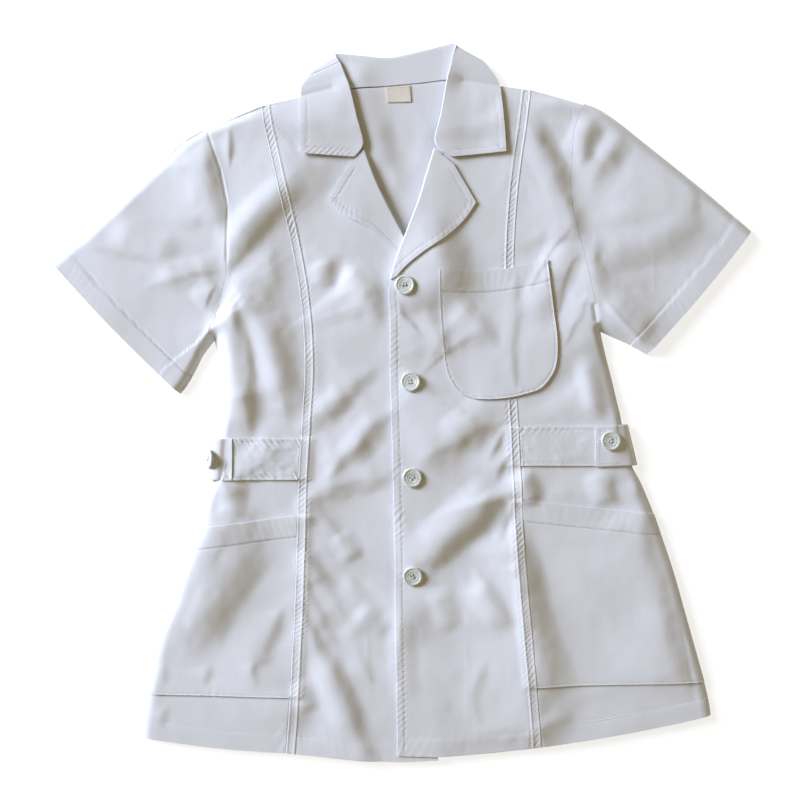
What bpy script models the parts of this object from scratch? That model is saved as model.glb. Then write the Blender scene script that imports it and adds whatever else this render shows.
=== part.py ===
"""Short-sleeved work tunic with a notched collar, laid flat and face up on a surface.

Lengths are in millimetres and become metres when a mesh is made. +X is the wearer's left,
+Y points to the collar, +Z is up, and the origin is at the middle of the outline on the surface.
"""
import math

import bmesh
import bpy
from mathutils import Matrix, Vector

MM = 0.001

# Driving dimensions
WALL = 1.4
GAP = 0.3
STEP = WALL + GAP
SEAM_HALF_GAP = 0.15
ARMHOLE_GAP = 0.7
AIR = 4.2
EDGE_ROLL = 34.0
LOOSE_GAP = 0.95
LAPEL_CLEAR = 0.35
COLLAR_CLEAR = 0.25
HOOK = 7.0
HOOK_SHARE = 0.6
BELT_HALF_WIDTH = 21.4
BELT_MIDDLE_X = -194.0
BELT_MIDDLE_Y = -60.0
BELT_RISE = 0.0346
BELT_PLATEAU = 22.4
BELT_RAMP = 33.0
COLLAR_RAMP_LOW = 268.0
COLLAR_RAMP_HIGH = 296.0
LAP_END = 30.0
LAP_FADE = 44.0
LAP_CLEAR = 0.1
LAPEL_LIFT = 4.6
LAPEL_LIFT_X = 6.0
LAPEL_LIFT_Y = 146.0
LAPEL_LIFT_REACH = 74.0
LAPEL_LIFT_CORE = 0.45
HEM_SAG = 2.6
HEM_SAG_START = 0.94
BACK_HEM_DROP = 29.0
BACK_HEM_START = 0.7
NECKLINE_FADE_ROWS = 6.0
CREST_OFFSET = 0.45
FOLD_REACH = 1.25
FOLD_TAPER = 0.3
SLEEVE_EDGE_SOFTNESS = 0.6
SHARP_ANGLE = 45.0
ROW_STEP = 19.0
SIDE_COLUMNS = 9
FRONT_COLUMNS = 8
LAP_COLUMNS = 3
SLEEVE_STATIONS = 12
BUTTON_RADIUS = 10.2
BUTTON_THICKNESS = 3.0
BUTTON_RIM = 2.0
BUTTON_DISH = 0.9
BUTTON_BEVEL = 0.6
BUTTON_BEVEL_DROP = 0.3
BUTTON_HOLE_RADIUS = 1.0
BUTTON_HOLE_OFFSET = 2.2
BUTTON_SEGMENTS = 16
BUTTON_HOLES = 4
HOLE_SIDES = 6
HOLE_CUTTER_LENGTH = 8.0
RIM_DIRECTIONS = 16
RIM_SHARES = (0.0, 0.5, 0.85)
WELD_DISTANCE = 0.00001
LABEL_WALL = 1.0
LABEL_CELLS = 4
LEAST_BEND = 0.05
STAND_CELLS = 3
FALL_CELLS = 5
LAPEL_CELLS = 4
LAPEL_STATIONS = 3
CHEST_POCKET_COLUMNS = 10
LIGHT_FROM = (-0.78, 0.62)

# Colours, as linear red, green, blue
CLOTH = ((0.70, 0.71, 0.76), 0.88)
LABEL_TAPE = ((0.74, 0.65, 0.52), 0.80)
BUTTON_RESIN = ((0.55, 0.56, 0.53), 0.28)

# Side edges and princess seams, a row per section from the shoulder to the hem
SIDES = (
    ("name", "right_side", "right_seam", "left_seam", "left_side"),
    ("shoulder", (-205.5, 285.6), (-143.6, 309.8), (132.0, 327.0), (190.6, 311.9)),
    ("yoke", (-194.5, 262.0), (-140.0, 288.0), (126.0, 285.0), (179.6, 284.0)),
    ("upper_chest", (-184.0, 232.0), (-133.5, 260.0), (121.3, 252.0), (178.4, 255.0)),
    ("gorge", (-180.0, 205.0), (-126.8, 231.0), (118.5, 228.0), (176.9, 228.2)),
    ("lapel_tip", (-181.0, 180.0), (-120.5, 204.0), (116.2, 203.0), (179.3, 201.0)),
    ("lapel", (-182.5, 155.0), (-115.0, 179.0), (114.7, 178.0), (184.5, 179.0)),
    ("pocket_mouth", (-184.5, 133.0), (-110.0, 155.0), (113.8, 153.0), (190.5, 156.0)),
    ("crossing_high", (-189.0, 113.0), (-105.5, 131.0), (113.8, 130.0), (195.8, 133.5)),
    ("crossing", (-192.0, 101.0), (-104.0, 121.0), (114.0, 119.0), (198.4, 121.0)),
    ("break", (-194.5, 90.0), (-102.8, 111.0), (114.3, 108.0), (201.0, 108.0)),
    ("underarm", (-196.5, 66.0), (-99.5, 82.0), (115.3, 85.0), (208.5, 75.0)),
    ("bust", (-192.0, 48.0), (-98.0, 55.0), (116.0, 58.0), (214.0, 50.0)),
    ("ribs", (-192.0, 22.0), (-97.6, 27.0), (116.6, 30.0), (221.0, 22.0)),
    ("high_waist", (-188.5, -6.0), (-99.3, -4.0), (117.0, 3.0), (226.0, 0.0)),
    ("over_tab", (-189.5, -24.0), (-100.5, -22.0), (117.8, -12.0), (229.0, -12.0)),
    ("tab_top", (-191.5, -38.0), (-101.5, -38.2), (118.7, -26.0), (231.5, -25.0)),
    ("tab_middle", (-194.0, -60.0), (-102.9, -60.0), (119.5, -46.0), (236.0, -45.0)),
    ("tab_bottom", (-197.5, -82.0), (-104.1, -81.5), (120.5, -67.0), (241.6, -67.0)),
    ("under_tab", (-206.0, -104.0), (-104.7, -99.0), (121.5, -85.0), (251.5, -86.0)),
    ("pocket_top", (-213.5, -131.5), (-105.0, -118.8), (122.3, -103.0), (264.5, -117.0)),
    ("pocket_band", (-224.4, -154.0), (-105.6, -140.0), (123.2, -125.0), (272.5, -139.5)),
    ("hip", (-237.0, -191.0), (-107.0, -182.0), (125.5, -167.0), (285.0, -177.0)),
    ("low_hip", (-248.5, -229.0), (-108.6, -224.0), (129.0, -210.0), (297.0, -219.0)),
    ("thigh", (-258.0, -267.0), (-110.8, -266.0), (132.8, -252.0), (308.0, -258.0)),
    ("pocket_bottom", (-266.7, -306.0), (-112.9, -309.0), (137.0, -298.0), (317.8, -293.5)),
    ("over_hem", (-270.8, -329.0), (-114.8, -338.0), (139.5, -328.0), (322.5, -314.0)),
    ("hem", (-273.8, -351.2), (-117.3, -367.8), (142.3, -361.5), (324.7, -328.7)),
)

# Top of the back between the shoulder tips: right shoulder, neckline, left shoulder
BACK_NECKLINE = (
    (-174.0, 298.6), (-143.6, 309.8), (-105.3, 319.6), (-76.0, 327.6), (-57.2, 327.6), (-38.0, 329.0),
    (-12.0, 331.2), (5.0, 332.8), (22.6, 334.6), (42.0, 337.2), (66.0, 336.0), (103.2, 331.0),
    (132.0, 327.0), (161.0, 320.2),
)

# Neckline and roll edges of the two fronts above the break, a row per section
OPENING = (
    ("name", "right_inner", "right_end", "left_end", "left_inner"),
    ("shoulder", (-98.0, 322.2), (-73.5, 328.6), (64.8, 336.6), (92.0, 333.0)),
    ("yoke", (-90.0, 300.0), (-66.5, 307.0), (57.5, 312.0), (85.0, 303.0)),
    ("upper_chest", (-82.0, 276.0), (-58.0, 284.0), (47.5, 288.0), (76.0, 276.0)),
    ("gorge", (-72.0, 250.0), (-42.4, 260.0), (36.6, 262.0), (68.0, 251.0)),
    ("lapel_tip", (-64.0, 226.0), (-32.4, 236.0), (29.2, 240.0), (60.0, 225.0)),
    ("lapel", (-52.0, 202.0), (-20.9, 210.0), (22.0, 215.0), (52.0, 200.0)),
    ("pocket_mouth", (-38.0, 178.0), (-7.4, 184.5), (13.0, 190.0), (44.0, 176.0)),
    ("crossing_high", (-24.0, 150.0), (6.0, 156.0), (2.6, 163.0), (36.0, 153.0)),
    ("crossing", (-14.0, 130.0), (15.0, 138.0), (-4.8, 141.5), (29.0, 135.0)),
)

# The lap below the break: the edge of the upper front and the edge of the one beneath
LAP = (
    ("name", "edge", "under"),
    ("break", (-13.7, 117.6), (24.4, 117.0)),
    ("underarm", (-12.4, 90.0), (25.5, 90.0)),
    ("bust", (-12.3, 60.0), (26.0, 60.0)),
    ("ribs", (-12.3, 30.0), (26.5, 30.0)),
    ("high_waist", (-11.4, 0.0), (27.0, 0.0)),
    ("over_tab", (-11.0, -16.0), (27.5, -16.0)),
    ("tab_top", (-10.6, -31.0), (28.0, -31.0)),
    ("tab_middle", (-9.9, -52.0), (28.5, -52.0)),
    ("tab_bottom", (-9.3, -74.0), (29.0, -74.0)),
    ("under_tab", (-8.9, -92.0), (29.5, -92.0)),
    ("pocket_top", (-8.4, -111.0), (30.0, -111.0)),
    ("pocket_band", (-7.8, -133.0), (30.5, -133.0)),
    ("hip", (-7.1, -175.0), (31.5, -175.0)),
    ("low_hip", (-7.1, -217.0), (33.0, -217.0)),
    ("thigh", (-6.4, -259.0), (34.5, -259.0)),
    ("pocket_bottom", (-5.5, -304.0), (36.0, -304.0)),
    ("over_hem", (-5.0, -338.0), (37.0, -338.0)),
    ("hem", (-5.0, -370.4), (38.0, -369.5)),
)
UNDER_HEM_DROP = 6.0

# Top and lower edge of each sleeve, a row per section from the armhole to the cuff
RIGHT_SLEEVE = (
    ("name", "top", "low"),
    ("armhole", (-205.5, 285.6), (-196.5, 66.0)),
    ("cap", (-228.6, 273.0), (-203.0, 57.5)),
    ("upper", (-251.7, 251.0), (-208.4, 50.8)),
    ("middle", (-291.6, 212.1), (-215.6, 37.0)),
    ("lower", (-335.7, 172.2), (-225.5, 19.5)),
    ("cuff", (-366.6, 145.8), (-233.7, 9.4)),
)
LEFT_SLEEVE = (
    ("name", "top", "low"),
    ("armhole", (190.6, 311.9), (208.5, 75.0)),
    ("cap", (208.2, 304.5), (216.0, 71.6)),
    ("upper", (235.5, 285.6), (226.0, 67.3)),
    ("middle", (274.0, 255.6), (236.0, 63.0)),
    ("lower", (322.0, 216.8), (248.0, 56.8)),
    ("cuff", (366.5, 178.5), (258.6, 50.8)),
)
CUFF_BOW = 2.6
CUFF_SLANT = 0.7

# Collar sections: neck seam, roll line, outer edge, and how far the fall has gone behind (0 to 1)
COLLAR = (
    ("name", "seam", "roll", "outer", "behind"),
    ("right_end", (-55.0, 258.3), (-50.0, 256.6), (-105.3, 259.4), 0.0),
    ("right_gorge", (-52.0, 271.0), (-41.0, 270.5), (-105.3, 272.0), 0.0),
    ("right_leaf", (-58.0, 295.0), (-47.5, 298.0), (-105.3, 294.0), 0.0),
    ("right_neck", (-68.0, 322.0), (-55.0, 329.0), (-105.4, 318.0), 0.0),
    ("right_rise", (-71.0, 331.0), (-60.0, 343.0), (-104.4, 330.0), 0.25),
    ("right_turn", (-69.5, 331.5), (-64.5, 355.0), (-97.0, 341.5), 0.5),
    ("right_back", (-66.0, 330.5), (-69.6, 364.8), (-88.0, 350.0), 0.85),
    ("right_fall", (-57.0, 329.0), (-60.0, 364.9), (-79.0, 318.0), 1.0),
    ("right_nape", (-38.0, 330.4), (-40.4, 363.2), (-48.0, 313.0), 1.0),
    ("nape", (-12.0, 332.6), (-11.8, 361.4), (-14.0, 311.0), 1.0),
    ("left_nape", (22.6, 336.0), (22.6, 368.8), (20.0, 317.0), 1.0),
    ("left_fall", (42.0, 338.6), (42.0, 373.5), (66.0, 326.0), 1.0),
    ("left_back", (55.0, 339.8), (56.2, 375.8), (79.0, 360.0), 0.85),
    ("left_turn", (61.5, 340.2), (53.5, 362.0), (94.0, 347.0), 0.5),
    ("left_rise", (62.5, 339.2), (51.0, 350.0), (102.2, 333.5), 0.25),
    ("left_neck", (60.5, 330.0), (47.8, 337.0), (104.0, 320.0), 0.0),
    ("left_leaf", (51.0, 296.0), (41.2, 300.0), (106.4, 294.0), 0.0),
    ("left_gorge", (46.0, 271.0), (35.6, 270.5), (108.2, 272.0), 0.0),
    ("left_end", (57.5, 257.4), (52.4, 256.0), (108.8, 261.4), 0.0),
)

# Lapel sections: the roll edge and the outer edge
RIGHT_LAPEL = (
    ("name", "roll", "outer"),
    ("gorge", (-40.2, 264.0), (-52.4, 250.4)),
    ("tip", (-30.6, 237.0), (-76.5, 211.4)),
    ("belly", (-20.2, 214.0), (-59.9, 195.6)),
    ("middle", (-8.8, 192.0), (-34.7, 182.0)),
    ("low", (1.6, 172.2), (-17.9, 166.6)),
    ("crossing", (10.0, 154.0), (-5.3, 152.6)),
    ("end", (19.0, 134.0), (12.0, 134.0)),
)
LEFT_LAPEL = (
    ("name", "roll", "outer"),
    ("gorge", (34.6, 264.0), (54.2, 248.6)),
    ("tip", (26.3, 237.0), (77.7, 208.6)),
    ("belly", (19.0, 212.0), (64.6, 190.0)),
    ("middle", (10.7, 190.0), (45.1, 171.8)),
    ("low", (2.6, 169.0), (22.6, 156.4)),
    ("crossing", (-4.6, 150.0), (5.1, 142.6)),
    ("end", (-11.4, 128.0), (-5.6, 131.0)),
)

# Chest pocket sections and how far each line sags in its middle
CHEST_POCKET = (
    ("name", "left", "right", "sag"),
    ("mouth", (38.9, 137.6), (152.0, 149.1), 5.6),
    ("band", (39.4, 116.0), (154.6, 127.0), 4.0),
    ("upper", (40.6, 90.0), (158.8, 96.0), 2.0),
    ("middle", (42.8, 62.0), (162.4, 66.0), 0.0),
    ("lower", (46.5, 35.0), (161.6, 41.0), 0.0),
    ("corner", (52.5, 20.0), (155.5, 26.0), 0.0),
    ("curve", (62.0, 9.0), (144.0, 13.6), 0.0),
    ("bottom", (76.0, 3.6), (126.0, 7.6), 2.2),
)

# Folds: the shaded flank's two ends, how wide the fold is, how high its crest stands
# and how far the flank bows sideways
FOLDS = (
    ("x0", "y0", "x1", "y1", "width", "height", "bow"),
    (-182.0, 147.0, -96.0, 233.0, 17.0, 4.0, 6.0),
    (-180.0, 110.0, -152.0, -28.0, 17.0, 5.0, 8.0),
    (-148.0, 96.0, -108.0, 4.0, 17.0, 3.0, 0.0),
    (-168.0, -84.0, -172.0, -124.0, 14.0, 3.0, 0.0),
    (-136.0, -148.0, -206.0, -258.0, 22.0, 4.4, 5.0),
    (-84.0, 152.0, -68.0, 122.0, 13.0, 2.4, 0.0),
    (-58.0, 144.0, -26.0, 110.0, 14.0, 2.6, 0.0),
    (-80.0, -24.0, -52.0, 8.0, 15.0, 2.6, 0.0),
    (-56.0, -70.0, -16.0, -22.0, 16.0, 3.0, 0.0),
    (-94.0, -90.0, -86.0, -130.0, 14.0, 2.4, 0.0),
    (-62.0, -132.0, -42.0, -164.0, 14.0, 2.6, 0.0),
    (-98.0, -150.0, -84.0, -194.0, 13.0, 2.6, 0.0),
    (-76.0, -254.0, -36.0, -352.0, 18.0, 3.8, 5.0),
    (-104.0, -286.0, -88.0, -324.0, 13.0, 2.4, 0.0),
    (-52.0, -220.0, -14.0, -246.0, 14.0, 2.6, 0.0),
    (114.0, -90.0, 20.0, -174.0, 22.0, 6.0, 0.0),
    (104.0, -2.0, 46.0, -52.0, 16.0, 3.4, 4.0),
    (44.0, -190.0, 58.0, -242.0, 14.0, 2.6, 0.0),
    (78.0, -182.0, 118.0, -236.0, 16.0, 2.8, 0.0),
    (4.0, -206.0, 10.0, -318.0, 15.0, 2.2, 0.0),
    (136.0, 300.0, 176.0, 222.0, 17.0, 3.2, 0.0),
    (186.0, 182.0, 134.0, 74.0, 20.0, 4.6, -6.0),
    (196.0, 54.0, 216.0, -18.0, 15.0, 3.4, 0.0),
    (126.0, -68.0, 146.0, -106.0, 14.0, 3.0, 0.0),
    (206.0, -68.0, 220.0, -110.0, 14.0, 3.0, 0.0),
    (130.0, -142.0, 180.0, -310.0, 20.0, 4.2, 8.0),
    (-312.0, 174.0, -232.0, 144.0, 20.0, 4.6, 0.0),
    (-258.0, 122.0, -188.0, 134.0, 16.0, 3.4, 0.0),
    (-212.0, 96.0, -188.0, 122.0, 14.0, 2.6, 0.0),
    (208.0, 296.0, 184.0, 248.0, 16.0, 3.2, 0.0),
    (240.0, 278.0, 214.0, 244.0, 16.0, 2.8, 0.0),
    (198.0, 144.0, 312.0, 166.0, 22.0, 4.6, 0.0),
    (218.0, 116.0, 268.0, 74.0, 18.0, 3.6, 0.0),
)

# Belt route round each side, as pairs of x and middle height, and how its turns lean
BELT_END_RIGHT = -176.9
BELT_END_LEFT = 202.4
LEFT_BELT_RUN = (222.0, 212.0)
RIGHT_WRAP = ((-185.0, 11.2), (-191.0, 12.0), (-197.2, 9.8), (-201.2, 6.2), (-201.0, 2.8), (-197.0, 0.7))
LEFT_WRAP = ((230.6, 10.4), (236.6, 8.8), (240.2, 5.6), (240.4, 2.6), (238.2, 0.7))
RIGHT_WRAP_SLANT = 0.08
LEFT_WRAP_SLANT = -0.22
BELT_WIDTH_CELLS = 4
BELT_FLOOR_STATIONS = 9

FRONT_BUTTONS = ((3.1, 121.8), (9.2, 21.0), (10.8, -78.8), (11.4, -181.7))
LEFT_BELT_BUTTON = (217.6, -40.2)
RIGHT_BELT_BUTTON = (-200.8, -59.0, 9.5)
RIGHT_BELT_BUTTON_FACES = (-0.84, 0.0, 0.54)
LABEL_CORNERS = ((-17.2, 330.6), (8.8, 332.6), (9.6, 315.4), (-15.4, 314.4))


def table(rows):
    """Turn a table whose first row names its columns into a list of dictionaries."""
    names = rows[0]
    return [dict(zip(names, row)) for row in rows[1:]]


def mix(start, end, share):
    return tuple(a + (b - a) * share for a, b in zip(start, end))


def smooth(value):
    value = min(max(value, 0.0), 1.0)
    return value * value * (3.0 - 2.0 * value)


def spline(points, share):
    """Point on a smooth curve through the given points; each span takes an equal share."""
    spans = len(points) - 1
    place = min(max(share, 0.0), 1.0) * spans
    index = min(int(place), spans - 1)
    t = place - index
    before = points[max(index - 1, 0)]
    start = points[index]
    end = points[index + 1]
    after = points[min(index + 2, spans)]
    result = []
    for a, b, c, d in zip(before, start, end, after):
        slope_in = (c - a) * 0.5
        slope_out = (d - b) * 0.5
        rise = c - b
        result.append(b + t * (slope_in + t * (3 * rise - 2 * slope_in - slope_out
                                                + t * (slope_in + slope_out - 2 * rise))))
    return tuple(result)


def along_shares(points):
    """How far along a polyline each of its points lies, from 0 to 1."""
    lengths = [0.0]
    for start, end in zip(points, points[1:]):
        lengths.append(lengths[-1] + math.dist(start, end))
    return [length / lengths[-1] for length in lengths]


def distance_to_line(point, line):
    """Shortest distance from a point to a polyline, in plan."""
    best = math.inf
    for start, end in zip(line, line[1:]):
        run_x = end[0] - start[0]
        run_y = end[1] - start[1]
        share = ((point[0] - start[0]) * run_x + (point[1] - start[1]) * run_y) / (run_x ** 2 + run_y ** 2)
        share = min(max(share, 0.0), 1.0)
        best = min(best, math.dist(point, (start[0] + run_x * share, start[1] + run_y * share)))
    return best


def closed_edges():
    """Outlines where front and back meet: shoulders, sleeve edges and side seams."""
    sides = table(SIDES)
    first_side = next(i for i, row in enumerate(sides) if row["name"] == "underarm")
    edges = []
    for sleeve, side, end in ((RIGHT_SLEEVE, "right_side", -1), (LEFT_SLEEVE, "left_side", 1)):
        seam = "right_seam" if end < 0 else "left_seam"
        inner = "right_end" if end < 0 else "left_end"
        shoulder = [table(OPENING)[0][inner], sides[0][seam]]
        edges.append(shoulder + [row["top"] for row in table(sleeve)])
        edges.append([row["low"] for row in reversed(table(sleeve))])
        edges.append([row[side] for row in sides[first_side:]])
    return edges


EDGES = closed_edges()


def belt_middle(x):
    return BELT_MIDDLE_Y + BELT_RISE * (x - BELT_MIDDLE_X)


def back_lift(x, y):
    """How far the back is held up by the belt and by the collar's fall beneath it."""
    off_belt = abs(y - belt_middle(x))
    over_belt = 1.0 - smooth((off_belt - BELT_PLATEAU) / (BELT_RAMP - BELT_PLATEAU))
    over_fall = smooth((y - COLLAR_RAMP_LOW) / (COLLAR_RAMP_HIGH - COLLAR_RAMP_LOW))
    return STEP * max(over_belt, over_fall)


def back_top(x, y):
    return WALL + back_lift(x, y)


def fold_height(x, y):
    """Sum of the folds at a place. A crest stands on the lit side of each shaded flank."""
    total = 0.0
    for row in table(FOLDS):
        run_x = row["x1"] - row["x0"]
        run_y = row["y1"] - row["y0"]
        length = math.hypot(run_x, run_y)
        along_x, along_y = run_x / length, run_y / length
        side_x, side_y = -along_y, along_x
        lit = 1.0 if side_x * LIGHT_FROM[0] + side_y * LIGHT_FROM[1] > 0 else -1.0
        off_x = x - row["x0"]
        off_y = y - row["y0"]
        share = (off_x * along_x + off_y * along_y) / length
        if share <= 0.0 or share >= 1.0:
            continue
        across = (off_x * side_x + off_y * side_y) * lit - row["bow"] * 4 * share * (1 - share)
        across -= row["width"] * CREST_OFFSET
        reach = across / (row["width"] * FOLD_REACH)
        if abs(reach) >= 1.0:
            continue
        taper = smooth(share / FOLD_TAPER) * smooth((1.0 - share) / FOLD_TAPER)
        total += row["height"] * taper * (1.0 - reach * reach) ** 2
    return total


def front_top(x, y):
    """Upper face of the lower layer of the fronts and of the sleeves' upper half."""
    rolled = min(min(distance_to_line((x, y), edge) for edge in EDGES) / EDGE_ROLL, 1.0)
    crown = 1.0 - (1.0 - rolled) ** 2
    return back_top(x, y) + STEP + (AIR + fold_height(x, y)) * crown


def lap_lift(x, y):
    """How far the left front stands above the right one beneath it."""
    over_lap = 1.0 - smooth((x - LAP_END) / LAP_FADE)
    away = math.hypot(x - LAPEL_LIFT_X, y - LAPEL_LIFT_Y) / LAPEL_LIFT_REACH
    over_lapel = 1.0 - smooth((away - LAPEL_LIFT_CORE) / (1.0 - LAPEL_LIFT_CORE))
    return (STEP + LAP_CLEAR) * over_lap + LAPEL_LIFT * over_lapel


def left_top(x, y):
    return front_top(x, y) + lap_lift(x, y)


def make_object(name, points, faces, collection, material):
    """Make one mesh object from points in millimetres."""
    mesh = bpy.data.meshes.new(name)
    mesh.from_pydata([Vector(point) * MM for point in points], [], faces)
    mesh.validate()
    bm = bmesh.new()
    bm.from_mesh(mesh)
    bmesh.ops.recalc_face_normals(bm, faces=bm.faces)
    bm.to_mesh(mesh)
    bm.free()
    mesh.shade_smooth()
    mesh.set_sharp_from_angle(angle=math.radians(SHARP_ANGLE))
    obj = bpy.data.objects.new(name, mesh)
    obj.data.materials.append(material)
    collection.objects.link(obj)
    return obj


def loft(name, rings, collection, material):
    """Closed solid through rings of equal size, with a flat cap on each end.

    Both faces of a sheet are cut along the same diagonals, so that sheets made on the same
    plan points stay clear of each other everywhere.
    """
    size = len(rings[0])
    half = size // 2
    points = [point for ring in rings for point in ring]
    faces = []
    for station in range(len(rings) - 1):
        low = station * size
        high = low + size
        for index in range(size):
            following = (index + 1) % size
            if index < half:
                faces.append((low + index, low + following, high + following))
                faces.append((low + index, high + following, high + index))
            else:
                faces.append((low + index, low + following, high + index))
                faces.append((low + following, high + following, high + index))
    last = (len(rings) - 1) * size
    for index in range(half - 1):
        near, far = index, size - 1 - index
        faces.append((near, near + 1, far - 1, far))
        faces.append((last + near, last + far, last + far - 1, last + near + 1))
    return make_object(name, points, faces, collection, material)


def sheet_rings(grid, top, wall=WALL):
    """Sections of a sheet: each row of plan points, cloth top first and its underside back."""
    rings = []
    for row in grid:
        upper = [(x, y, top(x, y)) for x, y in row]
        rings.append(upper + [(x, y, z - wall) for x, y, z in reversed(upper)])
    return rings


def row_shares():
    """Places along the sections, shared by all front panels, each span cut into equal steps."""
    keys = [row["right_seam"] for row in table(SIDES)]
    shares = []
    spans = len(keys) - 1
    for index in range(spans):
        parts = max(1, round(math.dist(keys[index], keys[index + 1]) / ROW_STEP))
        shares += [(index + part / parts) / spans for part in range(parts)]
    return shares + [1.0]


def sag(point, row_share, start, end):
    """Lower a point between two ends of a row near the hem."""
    depth = HEM_SAG * smooth((row_share - HEM_SAG_START) / (1.0 - HEM_SAG_START))
    share = (point[0] - start[0]) / (end[0] - start[0])
    return (point[0], point[1] - depth * 4.0 * share * (1.0 - share))


def across(start, end, cells, first=0):
    return [mix(start, end, index / cells) for index in range(first, cells + 1)]


def side_grid(side, seam, toward, start="shoulder", stop="hem"):
    """Plan points of a side front between its princess seam and its outer edge."""
    rows = table(SIDES)
    names = [row["name"] for row in rows]
    seam_points = [row[seam] for row in rows]
    side_points = [row[side] for row in rows]
    spans = len(rows) - 1
    low = names.index(start) / spans
    high = names.index(stop) / spans
    grid = []
    for share in row_shares():
        if share < low - 1e-9 or share > high + 1e-9:
            continue
        seam_x, seam_y = spline(seam_points, share)
        outer = spline(side_points, share)
        inner = (seam_x + toward * SEAM_HALF_GAP, seam_y)
        grid.append([sag(point, share, inner, outer) for point in across(inner, outer, SIDE_COLUMNS)])
    return grid


def front_grid(wearer):
    """Plan points of a centre front, from its princess seam to its free edge."""
    rows = table(SIDES)
    seam = wearer + "_seam"
    toward = 1.0 if wearer == "right" else -1.0
    seam_points = [row[seam] for row in rows]
    opening = table(OPENING)
    lap = table(LAP)
    if wearer == "right":
        inner_points = [row["right_inner"] for row in opening] + [row["edge"] for row in lap]
        end_points = [row["right_end"] for row in opening] + [row["under"] for row in lap]
    else:
        inner_points = [row["left_inner"] for row in opening] + [row["under"] for row in lap]
        end_points = [row["left_end"] for row in opening] + [row["edge"] for row in lap]
    grid = []
    for share in row_shares():
        seam_x, seam_y = spline(seam_points, share)
        start = (seam_x + toward * SEAM_HALF_GAP, seam_y)
        inner = spline(inner_points, share)
        end = spline(end_points, share)
        line = across(start, inner, FRONT_COLUMNS) + across(inner, end, LAP_COLUMNS, first=1)
        line = [sag(point, share, start, end) for point in line]
        if wearer == "right" and share == 1.0:
            first = (line[0][0], line[0][1])
            line = [(x, y - UNDER_HEM_DROP * smooth((x - first[0]) / (end[0] - first[0]))) for x, y in line]
        grid.append(line if wearer == "right" else line[::-1])
    return grid


def armhole(side):
    """Points of one armhole, from the shoulder to the underarm."""
    rows = table(SIDES)
    last = next(i for i, row in enumerate(rows) if row["name"] == "underarm")
    return [row[side] for row in rows[:last + 1]]


def sleeve_grid(sleeve, side, outward):
    """Plan points of a sleeve between its four edges."""
    rows = table(sleeve)
    tops = [row["top"] for row in rows]
    lows = [row["low"] for row in rows]
    hole = [(x + outward * ARMHOLE_GAP, y) for x, y in armhole(side)]
    shares = along_shares(hole)
    cuff = []
    for share in shares:
        x, y = mix(tops[-1], lows[-1], share)
        bow = CUFF_BOW * 4.0 * share * (1.0 - share)
        cuff.append((x + outward * bow * CUFF_SLANT, y - bow * CUFF_SLANT))
    grid = []
    for station in range(SLEEVE_STATIONS + 1):
        down = station / SLEEVE_STATIONS
        top = spline(tops, down)
        low = spline(lows, down)
        top = (top[0] + outward * ARMHOLE_GAP * (1 - down), top[1])
        low = (low[0] + outward * ARMHOLE_GAP * (1 - down), low[1])
        line = []
        for index, share in enumerate(shares):
            ruled = mix(hole[index], cuff[index], down)
            edges = mix(top, low, share)
            start = mix(hole[0], hole[-1], share)
            finish = mix(cuff[0], cuff[-1], share)
            chord = mix(start, finish, down)
            line.append(tuple(a + b - c for a, b, c in zip(ruled, edges, chord)))
        grid.append(line)
    return grid


def build_sleeve(name, sleeve, side, outward, collection, material):
    """A flattened tube, open at the armhole and the cuff."""
    outer = []
    inner = []
    for line in sleeve_grid(sleeve, side, outward):
        heights = [front_top(x, y) for x, y in line]
        inset_first = mix(line[0], line[1], WALL / math.dist(line[0], line[1]))
        inset_last = mix(line[-1], line[-2], WALL / math.dist(line[-1], line[-2]))
        inside = [inset_first] + line[1:-1] + [inset_last]
        soft = [SLEEVE_EDGE_SOFTNESS] + [0.0] * (len(line) - 2) + [SLEEVE_EDGE_SOFTNESS]
        over = [(x, y, z - s) for (x, y), z, s in zip(line, heights, soft)]
        under = [(x, y, s) for (x, y), s in zip(line, soft)]
        outer.append(over + under[::-1])
        roof = [(x, y, z - WALL) for (x, y), z in zip(inside, heights)]
        floor = [(x, y, WALL) for x, y in inside]
        inner.append(roof + floor[::-1])
    size = len(outer[0])
    stations = len(outer)
    points = [point for ring in outer + inner for point in ring]
    shift = size * stations
    faces = []
    for station in range(stations - 1):
        for index in range(size):
            following = (index + 1) % size
            low = station * size
            high = low + size
            faces.append((low + index, low + following, high + following, high + index))
            faces.append((shift + low + index, shift + high + index,
                          shift + high + following, shift + low + following))
    for low in (0, (stations - 1) * size):
        for index in range(size):
            following = (index + 1) % size
            faces.append((low + index, low + following, shift + low + following, shift + low + index))
    return make_object(name, points, faces, collection, material)


def back_grid():
    """Plan points of the back: the neckline and shoulders fade into straight rows."""
    rows = table(SIDES)
    top_line = [rows[0]["right_side"], *BACK_NECKLINE, rows[0]["left_side"]]
    lengths = [(x - top_line[0][0]) / (top_line[-1][0] - top_line[0][0]) for x, y in top_line]
    right = [row["right_side"] for row in rows]
    left = [row["left_side"] for row in rows]
    spans = len(rows) - 1
    grid = []
    for share in [index / spans for index in range(spans + 1)]:
        start = spline(right, share)
        end = spline(left, share)
        fade = max(0.0, 1.0 - share * spans / NECKLINE_FADE_ROWS)
        line = []
        for place, (x, y) in zip(lengths, top_line):
            straight = mix(start, end, place)
            first = mix(top_line[0], top_line[-1], place)
            lowered = smooth((share - BACK_HEM_START) / (1.0 - BACK_HEM_START))
            drop = BACK_HEM_DROP * 4.0 * place * (1.0 - place) * lowered
            line.append((straight[0], straight[1] + (y - first[1]) * fade - drop))
        grid.append(line)
    return grid


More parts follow.
